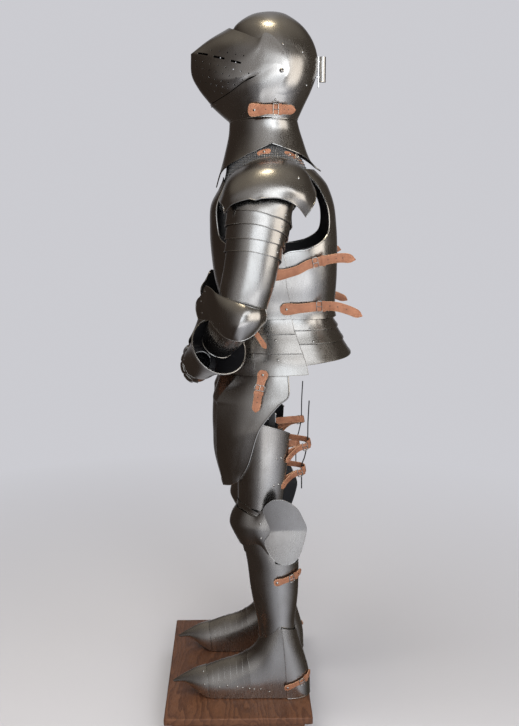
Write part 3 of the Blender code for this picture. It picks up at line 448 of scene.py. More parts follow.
# Guide rows of the plates of the left side.
PAULDRON = metres([
    [(160, -34, 1340), (156, -13, 1387), (152, 35, 1424), (150, 82, 1436.5), (152, 125, 1432),
     (158, 160, 1410), (165, 186, 1374)],
    [(205, -40, 1335), (205, -17, 1387), (205, 35, 1422), (205, 85, 1433), (205, 130, 1426),
     (205, 170, 1400), (205, 192, 1355)],
    [(245, -38, 1328), (250, -15, 1374), (255, 35, 1404), (258, 85, 1412), (256, 130, 1402),
     (248, 170, 1372), (238, 190, 1335)],
    [(268, -32, 1322), (278, -10, 1352), (286, 38, 1372), (289, 85, 1376), (286, 125, 1368),
     (275, 160, 1345), (255, 180, 1315)],
    [(270, -28, 1303), (286, -10, 1325), (297, 28, 1338), (300, 62, 1340), (296, 105, 1339),
     (282, 142, 1322), (258, 166, 1294)],
])
COUTER = metres([
    [(190, -88, 1098), (212, -76, 1124), (234, -64, 1123), (264, -44, 1110), (294, -10, 1099),
     (308, 24, 1089), (301, 52, 1080), (281, 69, 1077)],
    [(170, -102, 1075), (205, -84, 1082), (240, -70, 1084), (285, -48, 1070), (315, -16, 1058),
     (322.5, 18, 1049), (309, 51, 1048), (285, 72, 1054)],
    [(190, -96, 1041), (212, -83, 1042), (240, -67, 1044), (273, -52, 1030), (300, -27, 1011),
     (309, 6, 1004), (299, 38, 1015), (280, 62, 1037)],
])
TASSET = metres([
    [(27.5, -49, 835), (79, -61, 830), (136.5, -47.5, 828), (166.2, 11, 830), (182.5, 70.5, 835),
     (189, 130, 841)],
    [(28.5, -51.5, 813), (79.7, -63.5, 808), (137.4, -50.8, 805), (167.4, 4.2, 808), (183, 57.2, 813),
     (189.7, 104, 817)],
    [(31, -53, 772), (80, -65, 766), (137, -53, 760), (166, -7, 763), (181, 34, 768), (189, 66, 770)],
    [(36, -53, 735), (80, -64, 730), (134, -54, 725), (163, -18, 725), (178, 15, 730), (187, 48.5, 735)],
    [(50, -52, 680), (85, -61, 672), (128, -52, 665), (154, -27, 662), (168, 1, 662), (177, 28, 660)],
    [(85, -42, 622), (105, -42, 602), (125, -37, 590), (140, -19, 594), (148, -6, 602), (154, 6, 613)],
])
POLEYN = metres([
    [(66, 55, 530), (85, 10, 535), (127, -4, 534), (168, 12, 533), (189, 48, 522), (198, 74, 556)],
    [(63, 55, 512), (83, 0, 513), (127, -16, 513), (171, 2, 512), (193, 46, 506), (198, 82, 527)],
    [(61, 55, 488), (82, -4, 488), (127, -21, 489), (172, -2, 488), (195, 44, 488), (199, 86, 487)],
    [(63, 55, 468), (83, 2, 468), (127, -13, 467), (171, 4, 466), (193, 48, 468), (198, 83, 452)],
    [(68, 60, 440), (88, 18, 437), (127, 4, 434), (166, 18, 436), (188, 55, 445), (198, 80, 420)],
])
# The poleyn's side fan: the middle of its crease and its outline, as y and z.
FAN_MIDDLE = metres((118, 490))
FAN_OUTLINE = metres([
    (66, 544), (83, 571), (107, 577), (129, 571), (153, 552), (169, 521), (179, 494), (175, 464),
    (163, 424), (148, 403), (125, 396), (100, 404), (80, 429), (70, 457), (84, 489),
])

# Plates wrapped on a form: height at the middle line, angle to either edge, height at the edges.
BREAST_ROWS = [
    (1030, 98, 1035), (1070, 98, 1070), (1130, 95, 1125), (1200, 95, 1185), (1235, 88, 1205),
    (1268, 62, 1209), (1298, 43, 1232), (1330, 38, 1280), (1358, 36, 1330), (1388, 34, 1368),
]
BACK_ROWS = [
    (1030, 87, 1035), (1070, 87, 1070), (1130, 89, 1125), (1180, 89, 1180), (1220, 82, 1204),
    (1260, 64, 1212), (1300, 46, 1245), (1335, 40, 1300), (1370, 42, 1358), (1395, 46, 1395),
    (1410, 50, 1412),
]
# The neck plates end in a shoulder that goes up inside the rim above; the last columns are the
# offset out and the power with which the edge rises to the side.
NECK_FRONT_ROWS = [
    (1540, 93, 1546, -6, 2), (1530, 93, 1537.5, -4.5, 2), (1527, 93, 1534.5, 0, 2),
    (1490, 93, 1512, 0, 1.6), (1450, 93, 1494, 0, 1.2), (1405, 93, 1482, 0, 0.9),
    (1362, 93, 1474, 0, 0.65),
]
NECK_BACK_ROWS = [
    (1545, 90, 1545, -8, 2), (1534.5, 90, 1534.5, -7, 2), (1531.5, 90, 1531.5, -2, 2),
    (1498, 90, 1512, -3.5, 1.6), (1462, 90, 1494, -3.5, 1.2), (1430, 90, 1482, -3.5, 0.9),
    (1406, 90, 1474, -3.5, 0.65),
]
# The skull is closed round the head down to the face opening: height, angle from the back to either edge.
SKULL_ROWS = [
    (1800, 180), (1798.5, 180), (1790, 180), (1765, 180), (1740, 180), (1716, 180), (1700, 145),
    (1680, 118), (1650, 105), (1610, 100), (1570, 95), (1533.5, 92),
]
# Stepped lames: height of the upper and lower edge, angle, drop of the ends, offset of either edge, slant.
SHOULDER_LAMES = [
    (1362, 1307, 118, -33, -6, 6, -24), (1306, 1277.5, 118, -38, 3.5, 4.5, -21),
    (1276.5, 1244, 118, -27, 2, 3, -16), (1243, 1213.5, 118, -27, 0.5, 1.5, -17),
]
FAULD_LAMES = [
    (1044, 997, 102, 1, -10, -3.5, 0), (996, 949, 105, 2, -6, -3.5, 0),
    (948, 889, 107.5, 8, -5.5, -1, 0),
]
CULET_LAMES = [
    (1044, 1007, 83, 0, -15, -10.5, 0), (1006, 975, 82, 0, -13, -11.5, 0),
    (974, 936, 79, -18, -14, -12.5, 0),
]
# Breaths in rows, each from its first to its last hole: y, z, y, z, count; and the sight slots' ends.
BREATHS = [
    (-60, 1700.5, 20.3, 1682, 5), (-101, 1678, 32.2, 1639, 8), (-99.4, 1661.8, 17.5, 1623.7, 8),
    (-97.8, 1644.2, -2.3, 1612.5, 7), (-88.9, 1624.2, -20, 1605, 6), (-70, 1603.5, -35, 1595.5, 3),
]
SIGHTS = [
    (-96, 1696.3, -68.8, 1689.3), (-55.8, 1684.4, -27, 1676.9), (-12.7, 1671.5, 14, 1664.3),
]


# Looks

class Graph:
    """Short way to add and join shader nodes."""

    def __init__(self, tree):
        self.tree = tree

    def put(self, socket, value):
        """Joins a node's output to a socket, or gives the socket a number, vector or colour."""
        if hasattr(value, "is_output"):
            self.tree.links.new(value, socket)
        else:
            is_colour = socket.type == "RGBA" and hasattr(value, "__len__")
            socket.default_value = (*value, 1) if is_colour else value

    def node(self, kind, inputs=(), **settings):
        made = self.tree.nodes.new("ShaderNode" + kind)
        for name, value in settings.items():
            setattr(made, name, value)
        for name, value in dict(inputs).items():
            self.put(made.inputs[name], value)
        return made

    def ramp(self, value, stops):
        made = self.node("ValToRGB", {"Fac": value})
        ramp = made.color_ramp
        while len(ramp.elements) < len(stops):
            ramp.elements.new(0.5)
        for element, (place, colour) in zip(ramp.elements, stops):
            element.position = place
            element.color = (*colour, 1) if hasattr(colour, "__len__") else (colour,) * 3 + (1,)
        return made.outputs["Color"]

    def noise(self, where, scale, detail=3.0, roughness=0.55, stretch=(1, 1, 1)):
        moved = self.node("Mapping", {"Vector": where, "Scale": stretch}).outputs["Vector"]
        inputs = {"Vector": moved, "Scale": scale, "Detail": detail, "Roughness": roughness}
        return self.node("TexNoise", inputs).outputs["Fac"]

    def math(self, operation, *values):
        made = self.node("Math", operation=operation)
        for socket, value in zip(made.inputs, values):
            self.put(socket, value)
        return made.outputs[0]

    def mix(self, factor, a, b, blend="MIX"):
        made = self.node("Mix", data_type="RGBA", blend_type=blend)
        for socket, value in ((0, factor), (6, a), (7, b)):
            self.put(made.inputs[socket], value)
        return made.outputs[2]

    def bump(self, height, distance, strength=1.0, **more):
        inputs = {"Height": height, "Distance": distance, "Strength": strength, **more}
        return self.node("Bump", inputs).outputs["Normal"]


def surface(name, colour, roughness, normal=None, **fixed):
    """Material from a function that builds its colour, roughness and normal in a graph."""
    made = bpy.data.materials.new(name)
    made.use_nodes = True
    graph = Graph(made.node_tree)
    shader = made.node_tree.nodes["Principled BSDF"]
    where = graph.node("TexCoord").outputs["Object"]
    for socket, build in (("Base Color", colour), ("Roughness", roughness), ("Normal", normal)):
        if build is not None:
            graph.put(shader.inputs[socket], build(graph, where) if callable(build) else build)
    for socket, value in fixed.items():
        shader.inputs[socket.replace("_", " ")].default_value = value
    return made


def steel_look(name, light, dark, low, high, brush=1.0, metal=1.0):
    """Satin steel: oily clouding, worn brushing along the limb and a few fine scratches."""
    def colour(g, p):
        cloud = g.noise(p, 9.0, 4.0, 0.6, (1, 1, 0.6))
        return g.mix(g.ramp(cloud, ((0.34, 0.0), (0.68, 1.0))), dark, light)

    def roughness(g, p):
        smudge = g.noise(p, 16.0, 5.0, 0.62)
        streak = g.noise(p, 60.0, 3.0, 0.5, (6, 6, 0.35))
        return g.ramp(g.math("ADD", g.math("MULTIPLY", smudge, 0.65), g.math("MULTIPLY", streak, 0.35)),
                      ((0.32, low), (0.66, high)))

    def normal(g, p):
        lines = g.noise(p, 190.0, 2.0, 0.6, (5, 5, 0.22))
        hammer = g.noise(p, 26.0, 1.0, 0.4)
        return g.bump(hammer, 0.00012, Normal=g.bump(lines, 0.00004 * brush))
    return surface(name, colour, roughness, normal, Metallic=metal)


def leather_look(name, light, dark, rough=0.62):
    """Vegetable-tanned leather: pores, creases and uneven dye."""
    def colour(g, p):
        dye = g.ramp(g.noise(p, 38.0, 5.0, 0.62), ((0.30, 0.0), (0.70, 1.0)))
        base = g.mix(dye, dark, light)
        pores = g.ramp(g.noise(p, 900.0, 2.0, 0.5), ((0.34, 0.72), (0.5, 1.0)))
        return g.mix(1.0, base, pores, "MULTIPLY")

    def roughness(g, p):
        return g.ramp(g.noise(p, 120.0, 3.0), ((0.3, rough - 0.1), (0.7, rough + 0.14)))

    def normal(g, p):
        cells = g.node("TexVoronoi", {"Vector": p, "Scale": 520.0}, feature="DISTANCE_TO_EDGE")
        creases = g.ramp(cells.outputs["Distance"], ((0.0, 0.0), (0.18, 1.0)))
        both = g.math("ADD", g.math("MULTIPLY", creases, 0.5), g.noise(p, 70.0, 4.0))
        return g.bump(both, 0.00035)
    return surface(name, colour, roughness, normal)


def wood_look():
    """Dark stained walnut: long grain along the board, darker lines and a waxed sheen."""
    def rings(g, p):
        bent = g.noise(p, 3.0, 3.0, 0.5, (1, 5, 5))
        along = g.node("SeparateXYZ", {"Vector": p})
        across = g.math("ADD", g.math("MULTIPLY", along.outputs["Y"], 42.0),
                        g.math("MULTIPLY", bent, 9.0))
        return g.math("FRACT", g.math("ADD", across, g.math("MULTIPLY", along.outputs["Z"], 30.0)))

    def colour(g, p):
        grain = g.ramp(rings(g, p), ((0.0, 0.15), (0.55, 0.75), (0.85, 1.0), (1.0, 0.15)))
        pores = g.ramp(g.noise(p, 90.0, 4.0, 0.6, (0.8, 12, 12)), ((0.36, 0.45), (0.56, 1.0)))
        warm = g.mix(g.noise(p, 6.0, 3.0), (0.150, 0.062, 0.030), (0.235, 0.105, 0.052))
        base = g.mix(g.math("MULTIPLY", grain, 0.7), (0.075, 0.030, 0.016), warm)
        return g.mix(1.0, base, pores, "MULTIPLY")

    def roughness(g, p):
        return g.ramp(g.noise(p, 40.0, 3.0, 0.5, (1, 6, 6)), ((0.3, 0.38), (0.7, 0.58)))

    def normal(g, p):
        return g.bump(g.noise(p, 120.0, 3.0, 0.6, (0.7, 12, 12)), 0.0003)
    return surface("walnut", colour, roughness, normal)


def black_paint_and_shade_look(name, base, low, high):
    """Semi-matt near-black: stand paint, painted shade inside plates; orange peel and rubbed patches."""
    def colour(g, p):
        worn = g.ramp(g.noise(p, 60.0, 5.0, 0.7), ((0.62, 0.0), (0.74, 1.0)))
        return g.mix(worn, base, tuple(3.2 * c for c in base))

    def roughness(g, p):
        return g.ramp(g.noise(p, 30.0, 4.0), ((0.3, low), (0.7, high)))

    def normal(g, p):
        return g.bump(g.noise(p, 260.0, 2.0), 0.0002)
    return surface(name, colour, roughness, normal)


plate_steel = steel_look("plate_steel", (0.60, 0.585, 0.565), (0.46, 0.435, 0.41), 0.21, 0.32)
# Brighter, smoother steel on edges, rims, rivets and buckles: partly polish, partly a painted highlight along
# the edges.
polished_edge_and_highlight = steel_look("polished_edge_and_highlight", (0.80, 0.79, 0.77), (0.62, 0.60, 0.57), 0.17, 0.30, 0.6)
mail_steel = steel_look("mail_steel", (0.52, 0.53, 0.55), (0.30, 0.305, 0.32), 0.22, 0.36, 0.4, 0.84)
# Near-black on the inner faces of the plates and glove: painted shade for the dark inside the armour.
inside_painted_shade = black_paint_and_shade_look("inside_painted_shade", (0.012, 0.012, 0.014), 0.42, 0.62)
# Black paint on the stand's frame and tie wire, and painted shade in the strap holes.
black_paint_and_hole_shade = black_paint_and_shade_look("black_paint_and_hole_shade", (0.014, 0.014, 0.015), 0.32, 0.5)
tan_leather = leather_look("tan_leather", (0.390, 0.180, 0.105), (0.250, 0.105, 0.060))
cut_leather = leather_look("cut_leather", (0.50, 0.29, 0.18), (0.36, 0.19, 0.11), 0.7)
glove_leather = leather_look("glove_leather", (0.235, 0.105, 0.055), (0.110, 0.048, 0.026))
walnut = wood_look()
FINISH = {STEEL: plate_steel, INSIDE: inside_painted_shade, EDGE: polished_edge_and_highlight, LEATHER: tan_leather,
          CUT: cut_leather, BLACK: black_paint_and_hole_shade, GLOVE: glove_leather, MAIL: mail_steel}


# The camera and the studio

CAMERA_AT = (2.591, 0.0, 1.3846)
CAMERA_WAY = (-0.98218077, 0.02332958, -0.18648505)
LENS = 48.2
WALL_TONE = (0.60, 0.60, 0.635)


def make_camera():
    data = bpy.data.cameras.new("camera")
    data.sensor_fit = "AUTO"
    data.sensor_width = 36.0
    data.lens = LENS
    data.clip_end = 100.0
    camera = bpy.data.objects.new("camera", data)
    camera.location = ORIGIN + CAMERA_AT
    camera.rotation_mode = "QUATERNION"
    camera.rotation_quaternion = Vector(CAMERA_WAY).to_track_quat("-Z", "Y")
    bpy.context.scene.collection.objects.link(camera)
    bpy.context.scene.camera = camera


def panel(name, at, aim, width, height, watts, colour):
    """Soft rectangular light."""
    data = bpy.data.lights.new(name, "AREA")
    data.shape = "RECTANGLE"
    data.size, data.size_y = width, height
    data.energy = watts
    data.color = colour
    light = bpy.data.objects.new(name, data)
    light.location = at
    light.rotation_mode = "QUATERNION"
    light.rotation_quaternion = (Vector(aim) - Vector(at)).to_track_quat("-Z", "Y")
    light.visible_camera = False
    bpy.context.scene.collection.objects.link(light)
    return light


def make_world():
    """Pale to the camera; for reflections a brown room, lit on the camera's side, and a pale wall behind."""
    world = bpy.data.worlds.new("studio")
    bpy.context.scene.world = world
    world.use_nodes = True
    g = Graph(world.node_tree)
    way = g.node("TexCoord").outputs["Generated"]
    flat = g.node("VectorMath", {0: way, 1: (1, 1, 0)}, operation="MULTIPLY").outputs["Vector"]
    flat = g.node("VectorMath", {0: flat}, operation="NORMALIZE").outputs["Vector"]
    up = g.node("SeparateXYZ", {"Vector": way}).outputs["Z"]

    def toward(turn, stops):
        aim = (math.cos(math.radians(turn)), math.sin(math.radians(turn)), 0)
        share = g.node("VectorMath", {0: flat, 1: aim}, operation="DOT_PRODUCT").outputs["Value"]
        return g.ramp(share, stops)
    low = g.ramp(g.math("MULTIPLY", up, -1.0), ((0.12, 0.0), (0.24, 1.0)))
    high = g.ramp(up, ((0.48, 0.0), (0.95, 1.0)))
    room = g.mix(toward(90, ((0.0, 0.0), (0.8, 1.0))), (0.040, 0.030, 0.024), (0.062, 0.052, 0.042))
    wall = g.mix(toward(-6, ((0.45, 0.0), (0.76, 0.16), (0.94, 0.72), (1.0, 1.0))), room, (0.46, 0.45, 0.45))
    floor = g.mix(toward(28, ((0.30, 0.0), (0.64, 0.20), (0.88, 0.66), (1.0, 1.0))), room, (0.58, 0.60, 0.66))
    room = g.mix(high, g.mix(low, wall, floor), (0.25, 0.225, 0.190))
    room = g.mix(toward(180, ((0.90, 0.0), (1.0, 1.0))), room, (0.36, 0.36, 0.38))
    seen = g.node("LightPath").outputs["Is Camera Ray"]
    shade = world.node_tree.nodes["Background"].inputs
    g.put(shade["Color"], g.mix(seen, room, WALL_TONE))
    g.put(shade["Strength"], 1.0)


def make_floor():
    """Pale paper round the stand that turns into plain backdrop tone farther out."""
    ring = bmesh.new()
    bmesh.ops.create_circle(ring, cap_ends=True, segments=96, radius=60.0)
    mesh = bpy.data.meshes.new("floor")
    ring.to_mesh(mesh)
    ring.free()
    floor = bpy.data.objects.new("floor", mesh)
    floor.location.z = plinth_low.z - 0.0005
    paper = surface("floor_paper", WALL_TONE, 0.9)
    mesh.materials.append(paper)
    g = Graph(paper.node_tree)
    glow = g.node("Emission", {"Color": WALL_TONE, "Strength": 1.0}).outputs["Emission"]
    where = g.node("TexCoord").outputs["Object"]
    away = g.node("VectorMath", {0: where}, operation="LENGTH").outputs["Value"]
    share = g.ramp(g.math("MULTIPLY", away, 0.25), ((0.16, 0.0), (0.62, 1.0)))
    matt = g.tree.nodes["Principled BSDF"].outputs["BSDF"]
    mixed = g.node("MixShader", {"Fac": share, 1: matt, 2: glow}).outputs[0]
    g.put(g.tree.nodes["Material Output"].inputs["Surface"], mixed)
    floor.visible_glossy = False
    floor.visible_diffuse = False
    bpy.context.scene.collection.objects.link(floor)


def make_lights():
    """Two tall window panes, a ceiling lamp, and soft fill that only matt surfaces take up."""
    middle = (0.0, 0.05, 1.05)
    panel("window_cool", (4.2, 0.62, 1.68), middle, 2.7, 2.2, 27, (0.84, 0.92, 1.0))
    panel("window_high", (1.36, 0.62, 1.90), (0.2, 0.08, 0.95), 1.05, 0.44, 2.3, (0.92, 0.96, 1.0))
    panel("floor_light", (3.4, 1.15, 0.02), (3.4, 1.15, 1.0), 2.2, 3.2, 24, (0.96, 0.98, 1.0))
    panel("window_warm", (2.0, 3.4, 1.68), middle, 2.6, 2.2, 30, (1.0, 0.95, 0.88))
    panel("lamp", (0.35, -0.05, 3.4), (0.1, 0.05, 1.8), 0.35, 0.35, 4, (1.0, 0.87, 0.62))
    for name, at, size, watts, colour in (
            ("fill_front", (4.0, 0.6, 1.9), 2.6, 150, (1.0, 0.97, 0.93)),
            ("fill_top", (1.0, -1.4, 3.6), 2.6, 75, (1.0, 0.96, 0.90)),
            ("fill_back", (-3.4, 1.6, 2.4), 2.4, 55, (0.96, 0.97, 1.0))):
        panel(name, at, middle, size, size, watts, colour).visible_glossy = False


scene = bpy.context.scene
scene.view_settings.view_transform = "Standard"
scene.view_settings.look = "None"
make_camera()
make_world()
make_floor()
make_lights()


# Straps, buckles and keepers

def strap_frames(points, middle, count=56):
    """Even steps along a strap: places, directions along it, across it and outward."""
    fine = spline(points, np.linspace(0, len(points) - 1, 400))
    run = run_along(fine)
    places = np.stack([np.interp(np.linspace(0, run[-1], count), run, fine[:, n]) for n in range(3)], axis=1)
    along = unit(np.gradient(places, axis=0))
    out = places - np.array(middle, float)
    out = unit(out - along * (out * along).sum(-1, keepdims=True))
    return places, along, np.cross(along, out), out, run[-1]


def lay_strap(part, points, outline, middle, holes=(), buckle=None, keepers=(), rivet=(),
              thick=LEATHER_THICK):
    """Leather strap; outline is (share of its length, width) pairs, and its fittings sit at shares of it."""
    places, along, across, out, length = strap_frames(points, middle)
    count = len(places)
    shares, breadths = zip(*outline)
    widths = np.interp(np.linspace(0, length, count), np.array(shares) * length, breadths)
    widths = np.convolve(np.pad(widths, 1, "edge"), (0.25, 0.5, 0.25), "valid")
    for k, low in ((0, 0.52), (1, 0.86), (-1, 0.25), (-2, 0.66)):
        widths[k] *= low
    section = [(-1, -0.6), (-0.92, -1), (0, -1), (0.92, -1), (1, -0.6), (1, 0.6), (0.93, 1.0), (0.5, 1.12),
               (0, 1.16), (-0.5, 1.12), (-0.93, 1.0), (-1, 0.6)]
    cut_sides = (0, 4, 5, 10, 11)
    sides = len(section)
    rings = [places + across * (a * widths / 2)[:, None] + out * (b * thick / 2) for a, b in section]
    rings = np.array(rings).transpose(1, 0, 2)
    faces = tube_faces(count, sides)
    slots = [CUT if n in cut_sides else LEATHER for _ in range(count - 1) for n in range(sides)]
    if np.dot(np.cross(rings[0, 1] - rings[0, 0], along[0]), out[0]) < 0:
        faces = [face[::-1] for face in faces]
    ends = [tuple(range(sides)), tuple((count - 1) * sides + n for n in range(sides))[::-1]]
    part.add(rings, faces + ends, slots + [CUT, CUT])

    def at(share):
        k = round(share * (count - 1))
        return places[k], along[k], across[k], out[k], widths[k]

    # Each strap hole is a flat near-black disc on the leather: painted shade for the dark of the hole.
    for share in holes:
        place, _, _, up, _ = at(share)
        part.dome(place + up * thick * 0.53, up, 0.0019, 0.12, BLACK, 10)
    for share in rivet:
        place, _, _, up, _ = at(share)
        part.dome(place + up * thick * 0.5, up, RIVET * 1.08)
    for share in keepers:
        place, ahead, side, up, width = at(share)
        w, t = width / 2 + 0.0016, thick * 0.9 + 0.0008
        loop = [(-w, -t * 0.5), (-w, t * 0.9), (-w * 0.6, t * 1.15), (0, t * 1.2), (w * 0.6, t * 1.15),
                (w, t * 0.9), (w, -t * 0.5)]
        band = np.array([[place + side * a + up * b + ahead * c for a, b in loop] for c in (-0.004, 0.004)])
        band = spline(band.transpose(1, 0, 2), np.linspace(0, 6, 19)).transpose(1, 0, 2)
        part.shell(band, inside=place, wall=THIN, slots=(LEATHER, LEATHER, CUT))
    if buckle is not None:
        place, ahead, side, up, width = at(buckle)
        w, half, lift, crown = width / 2 + 0.0020, 0.0066, thick * 0.5 + 0.0014, 0.0012
        corners = [(-w, -half), (-w, half), (w, half), (w, -half)]
        path = []
        for (a, b), (c, d) in zip(corners, corners[1:] + corners[:1]):
            path += [place + side * (a + (c - a) * t) + ahead * (b + (d - b) * t)
                     + up * (lift + crown * math.cos(math.pi * (b + (d - b) * t) / (2 * half)))
                     for t in (0.12, 0.3, 0.5, 0.7, 0.88)]
        part.tube(path, 0.00115, EDGE, closed=True)
        tongue = ((-half, 0.0002), (-0.003, 0.0016), (0.003, 0.0020), (half + 0.001, 0.0024))
        part.tube([place + ahead * s + up * (lift + h) for s, h in tongue], 0.0010, EDGE, 6)


# The helmet

PIVOT = (0.113, 1.645)


def disc_outline(turn):
    """Radius of the round plate behind the visor pivot, by the angle from straight up toward the back."""
    return np.interp(turn % 360, (0, 45, 90, 130, 180, 230, 270, 315, 360),
                     (0.066, 0.068, 0.067, 0.061, 0.056, 0.050, 0.050, 0.056, 0.066))


def make_skull():
    steps = np.linspace(0, len(SKULL_ROWS) - 1, 64)
    heights, wide = zip(*SKULL_ROWS)
    heights = spline(metres(heights), steps)
    wide = np.interp(steps, np.arange(len(SKULL_ROWS)), wide)
    part = Part()
    turn = 180 + wide[:, None] * np.linspace(-1, 1, 81)[None, :]
    part.shell(SKULL.at(heights[:, None], turn), inside=(0, 0.09, 1.66), rims=[("bottom", 0.0015)])
    part.rivets([(0.117, 1.709), (0.167, 1.693), (0.179, 1.615), (0.098, 1.578), (0.120, 1.548)],
                SMALL_RIVET, both=True)
    part.make("skull")

    part = Part()
    turns, shares = np.linspace(0, 360, 73), np.linspace(0.05, 1.0, 12)[:, None]
    reach = shares * disc_outline(turns)[None, :]
    y = PIVOT[0] + reach * np.sin(np.radians(turns))
    z = PIVOT[1] + reach * np.cos(np.radians(turns))
    lift = 0.0016 - 0.0011 * (shares ** 6) + 0 * y
    part.shell(SKULL.drape(y, z, lift), inside=(0, 0.1, 1.65), wall=THIN, closed=True)
    part.sides("skull_side_plate", in_cad=False)


def make_visor():
    """The visor, pierced, with the pivot bolts that lie on the outermost plate; then the bevor below it."""
    part, bolts, cheek = Part(), Part(), Part()
    grid = patch(whole_rows(VISOR), 97, 46, folds=(2,))
    normals = part.shell(grid, inside=(0, 0.09, 1.66))
    visor = part.make("visor", "visor")
    pierce(visor, part)
    keep_shading(visor.data, grid.reshape(-1, 3), normals.reshape(-1, 3))
    bevor = patch(whole_rows(BEVOR), 81, 25)
    cheek.shell(bevor, inside=(0, 0.09, 1.60))
    place, normal = max((one.touch(*PIVOT) for one in (part, cheek)), key=lambda found: found[0][0])
    for mirror in MIRRORS:
        bolts.dome(place * mirror, normal * mirror, 0.0058, 0.42, EDGE, 20)
        bolts.dome((place + normal * 0.0018) * mirror, normal * mirror, 0.0034, 0.5, STEEL, 16)
    bolts.make("visor_pivots", "visor", in_cad=False)

    part = Part()
    part.shell(bevor, inside=(0, 0.09, 1.60), rims=[("bottom", 0.0015)])
    hidden = [BEVOR[0][:4] + np.outer(np.ones(4), (-back, back * 0.8, up))
              for back, up in ((0.0042, 0.012), (0.0036, 0.005), (0.0030, -0.006))]
    for mirror in MIRRORS:
        part.shell(patch(np.array(hidden) * mirror, 33, 7), inside=(0, 0.09, 1.60))
    part.rivets([(0.068, 1.545)], SMALL_RIVET, both=True)
    part.make("bevor")


def make_helmet():
    make_skull()
    make_visor()
    for name, rows, facing in (("neck_front", NECK_FRONT_ROWS, 0), ("neck_back", NECK_BACK_ROWS, 180)):
        part = Part()
        part.shell(wrap(NECK, rows, facing, 61, 33), inside=(0, 0.09, 1.47), rims=[("bottom", 0.0012)])
        part.make(name)

    part = Part()
    low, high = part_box("plume_tube")
    bottom, top = low.z - ORIGIN[2] + 0.015, high.z - ORIGIN[2]
    y = 0.2235
    plate_y = 0.2140
    radius = 0.0085
    turns = np.radians(np.linspace(0, 360, 33))
    rows = [[(radius * math.cos(t), y + radius * math.sin(t), z) for t in turns]
            for z in np.linspace(bottom, top, 6)]
    part.shell(rows, inside=(0, y, (bottom + top) / 2), wall=0.0022, closed=True, rims=[("top", 0.0011)])
    plate = [[(x, plate_y, z)
              for x in np.linspace(-0.0075, 0.0075, 7)] for z in np.linspace(bottom - 0.014, top, 9)]
    part.shell(plate, inside=(0, 0.1, 1.65), wall=0.0024)
    part.dome((0, plate_y, bottom - 0.007), (0, 1, 0), 0.0024)
    for z in (bottom + 0.012, top - 0.012):
        part.tube([(0, 0.2085, z), (0, 0.2125, z), (0, 0.2165, z)], 0.0032, EDGE)
    part.make("plume_tube")

    part = Part()
    points = [(0.0985, 0.031, 1.552), (0.1062, 0.060, 1.552), (0.1092, 0.083, 1.553),
              (0.1082, 0.101, 1.553), (0.1022, 0.122, 1.553), (0.0912, 0.149, 1.553)]
    outline = ((0, 0.026), (0.06, 0.032), (0.16, 0.032), (0.36, 0.0235), (0.9, 0.0235), (1, 0.012))
    lay_strap(part, points, outline, (0, 0.09, 1.553), holes=(0.36, 0.74, 0.84), buckle=0.57,
              keepers=(0.66,), rivet=(0.12,))
    part.sides("helmet_strap", "leather")


def cutter(outline, place, normal, depth):
    """Prism cut through a plate: outline is in the plane across the normal."""
    n = len(outline)
    points = [place + p + normal * side for side in (-depth, depth) for p in outline]
    faces = [(k, (k + 1) % n, (k + 1) % n + n, k + n) for k in range(n)]
    return points, faces + [tuple(range(n))[::-1], tuple(range(n, 2 * n))]


def pierce(visor, part):
    """Sight slots above the prow's ridge and rows of breaths, cut through the plate."""
    tools = Part()
    breath = 0.00185
    slot = 0.0026
    depth = 0.006

    def add(outline, place, normal):
        for mirror in MIRRORS:
            points, faces = cutter([p * mirror for p in outline], place * mirror, normal * mirror, depth)
            tools.add(points, faces if mirror[0] > 0 else [f[::-1] for f in faces], STEEL)

    for *ends, count in BREATHS:
        y0, z0, y1, z1 = metres(ends)
        for s in np.linspace(0, 1, count):
            place, normal = part.touch(y0 + (y1 - y0) * s, z0 + (z1 - z0) * s)
            along = unit(np.cross(normal, (0, 0, 1)))
            up = np.cross(normal, along)
            add([breath * (along * math.cos(t) + up * math.sin(t)) for t in round_turns(12)], place, normal)
    turns = np.linspace(-math.pi / 2, math.pi / 2, 7)
    for y0, z0, y1, z1 in metres(SIGHTS):
        (a, first), (b, last) = part.touch(y0, z0), part.touch(y1, z1)
        normal, along = unit(first + last), unit(b - a)
        half, up = np.linalg.norm(b - a) / 2 - slot, np.cross(normal, along)
        arc = [along * (half + slot * math.cos(t)) + up * slot * math.sin(t) for t in turns]
        add(arc + [-p for p in arc], (a + b) / 2, normal)
    mesh = bpy.data.meshes.new("visor_tools")
    mesh.from_pydata((np.concatenate(tools.points) + ORIGIN).tolist(), [], tools.faces)
    holes = bpy.data.objects.new("visor_tools", mesh)
    bpy.context.scene.collection.objects.link(holes)
    cleaned = bmesh.new()
    cleaned.from_mesh(mesh)
    bmesh.ops.recalc_face_normals(cleaned, faces=cleaned.faces)
    cleaned.to_mesh(mesh)
    cleaned.free()
    cut = visor.modifiers.new("cut", "BOOLEAN")
    cut.operation, cut.solver, cut.object = "DIFFERENCE", "MANIFOLD", holes
    graph = bpy.context.evaluated_depsgraph_get()
    pierced = bpy.data.meshes.new_from_object(visor.evaluated_get(graph))
    visor.modifiers.clear()
    visor.data = pierced
    bpy.data.objects.remove(holes)


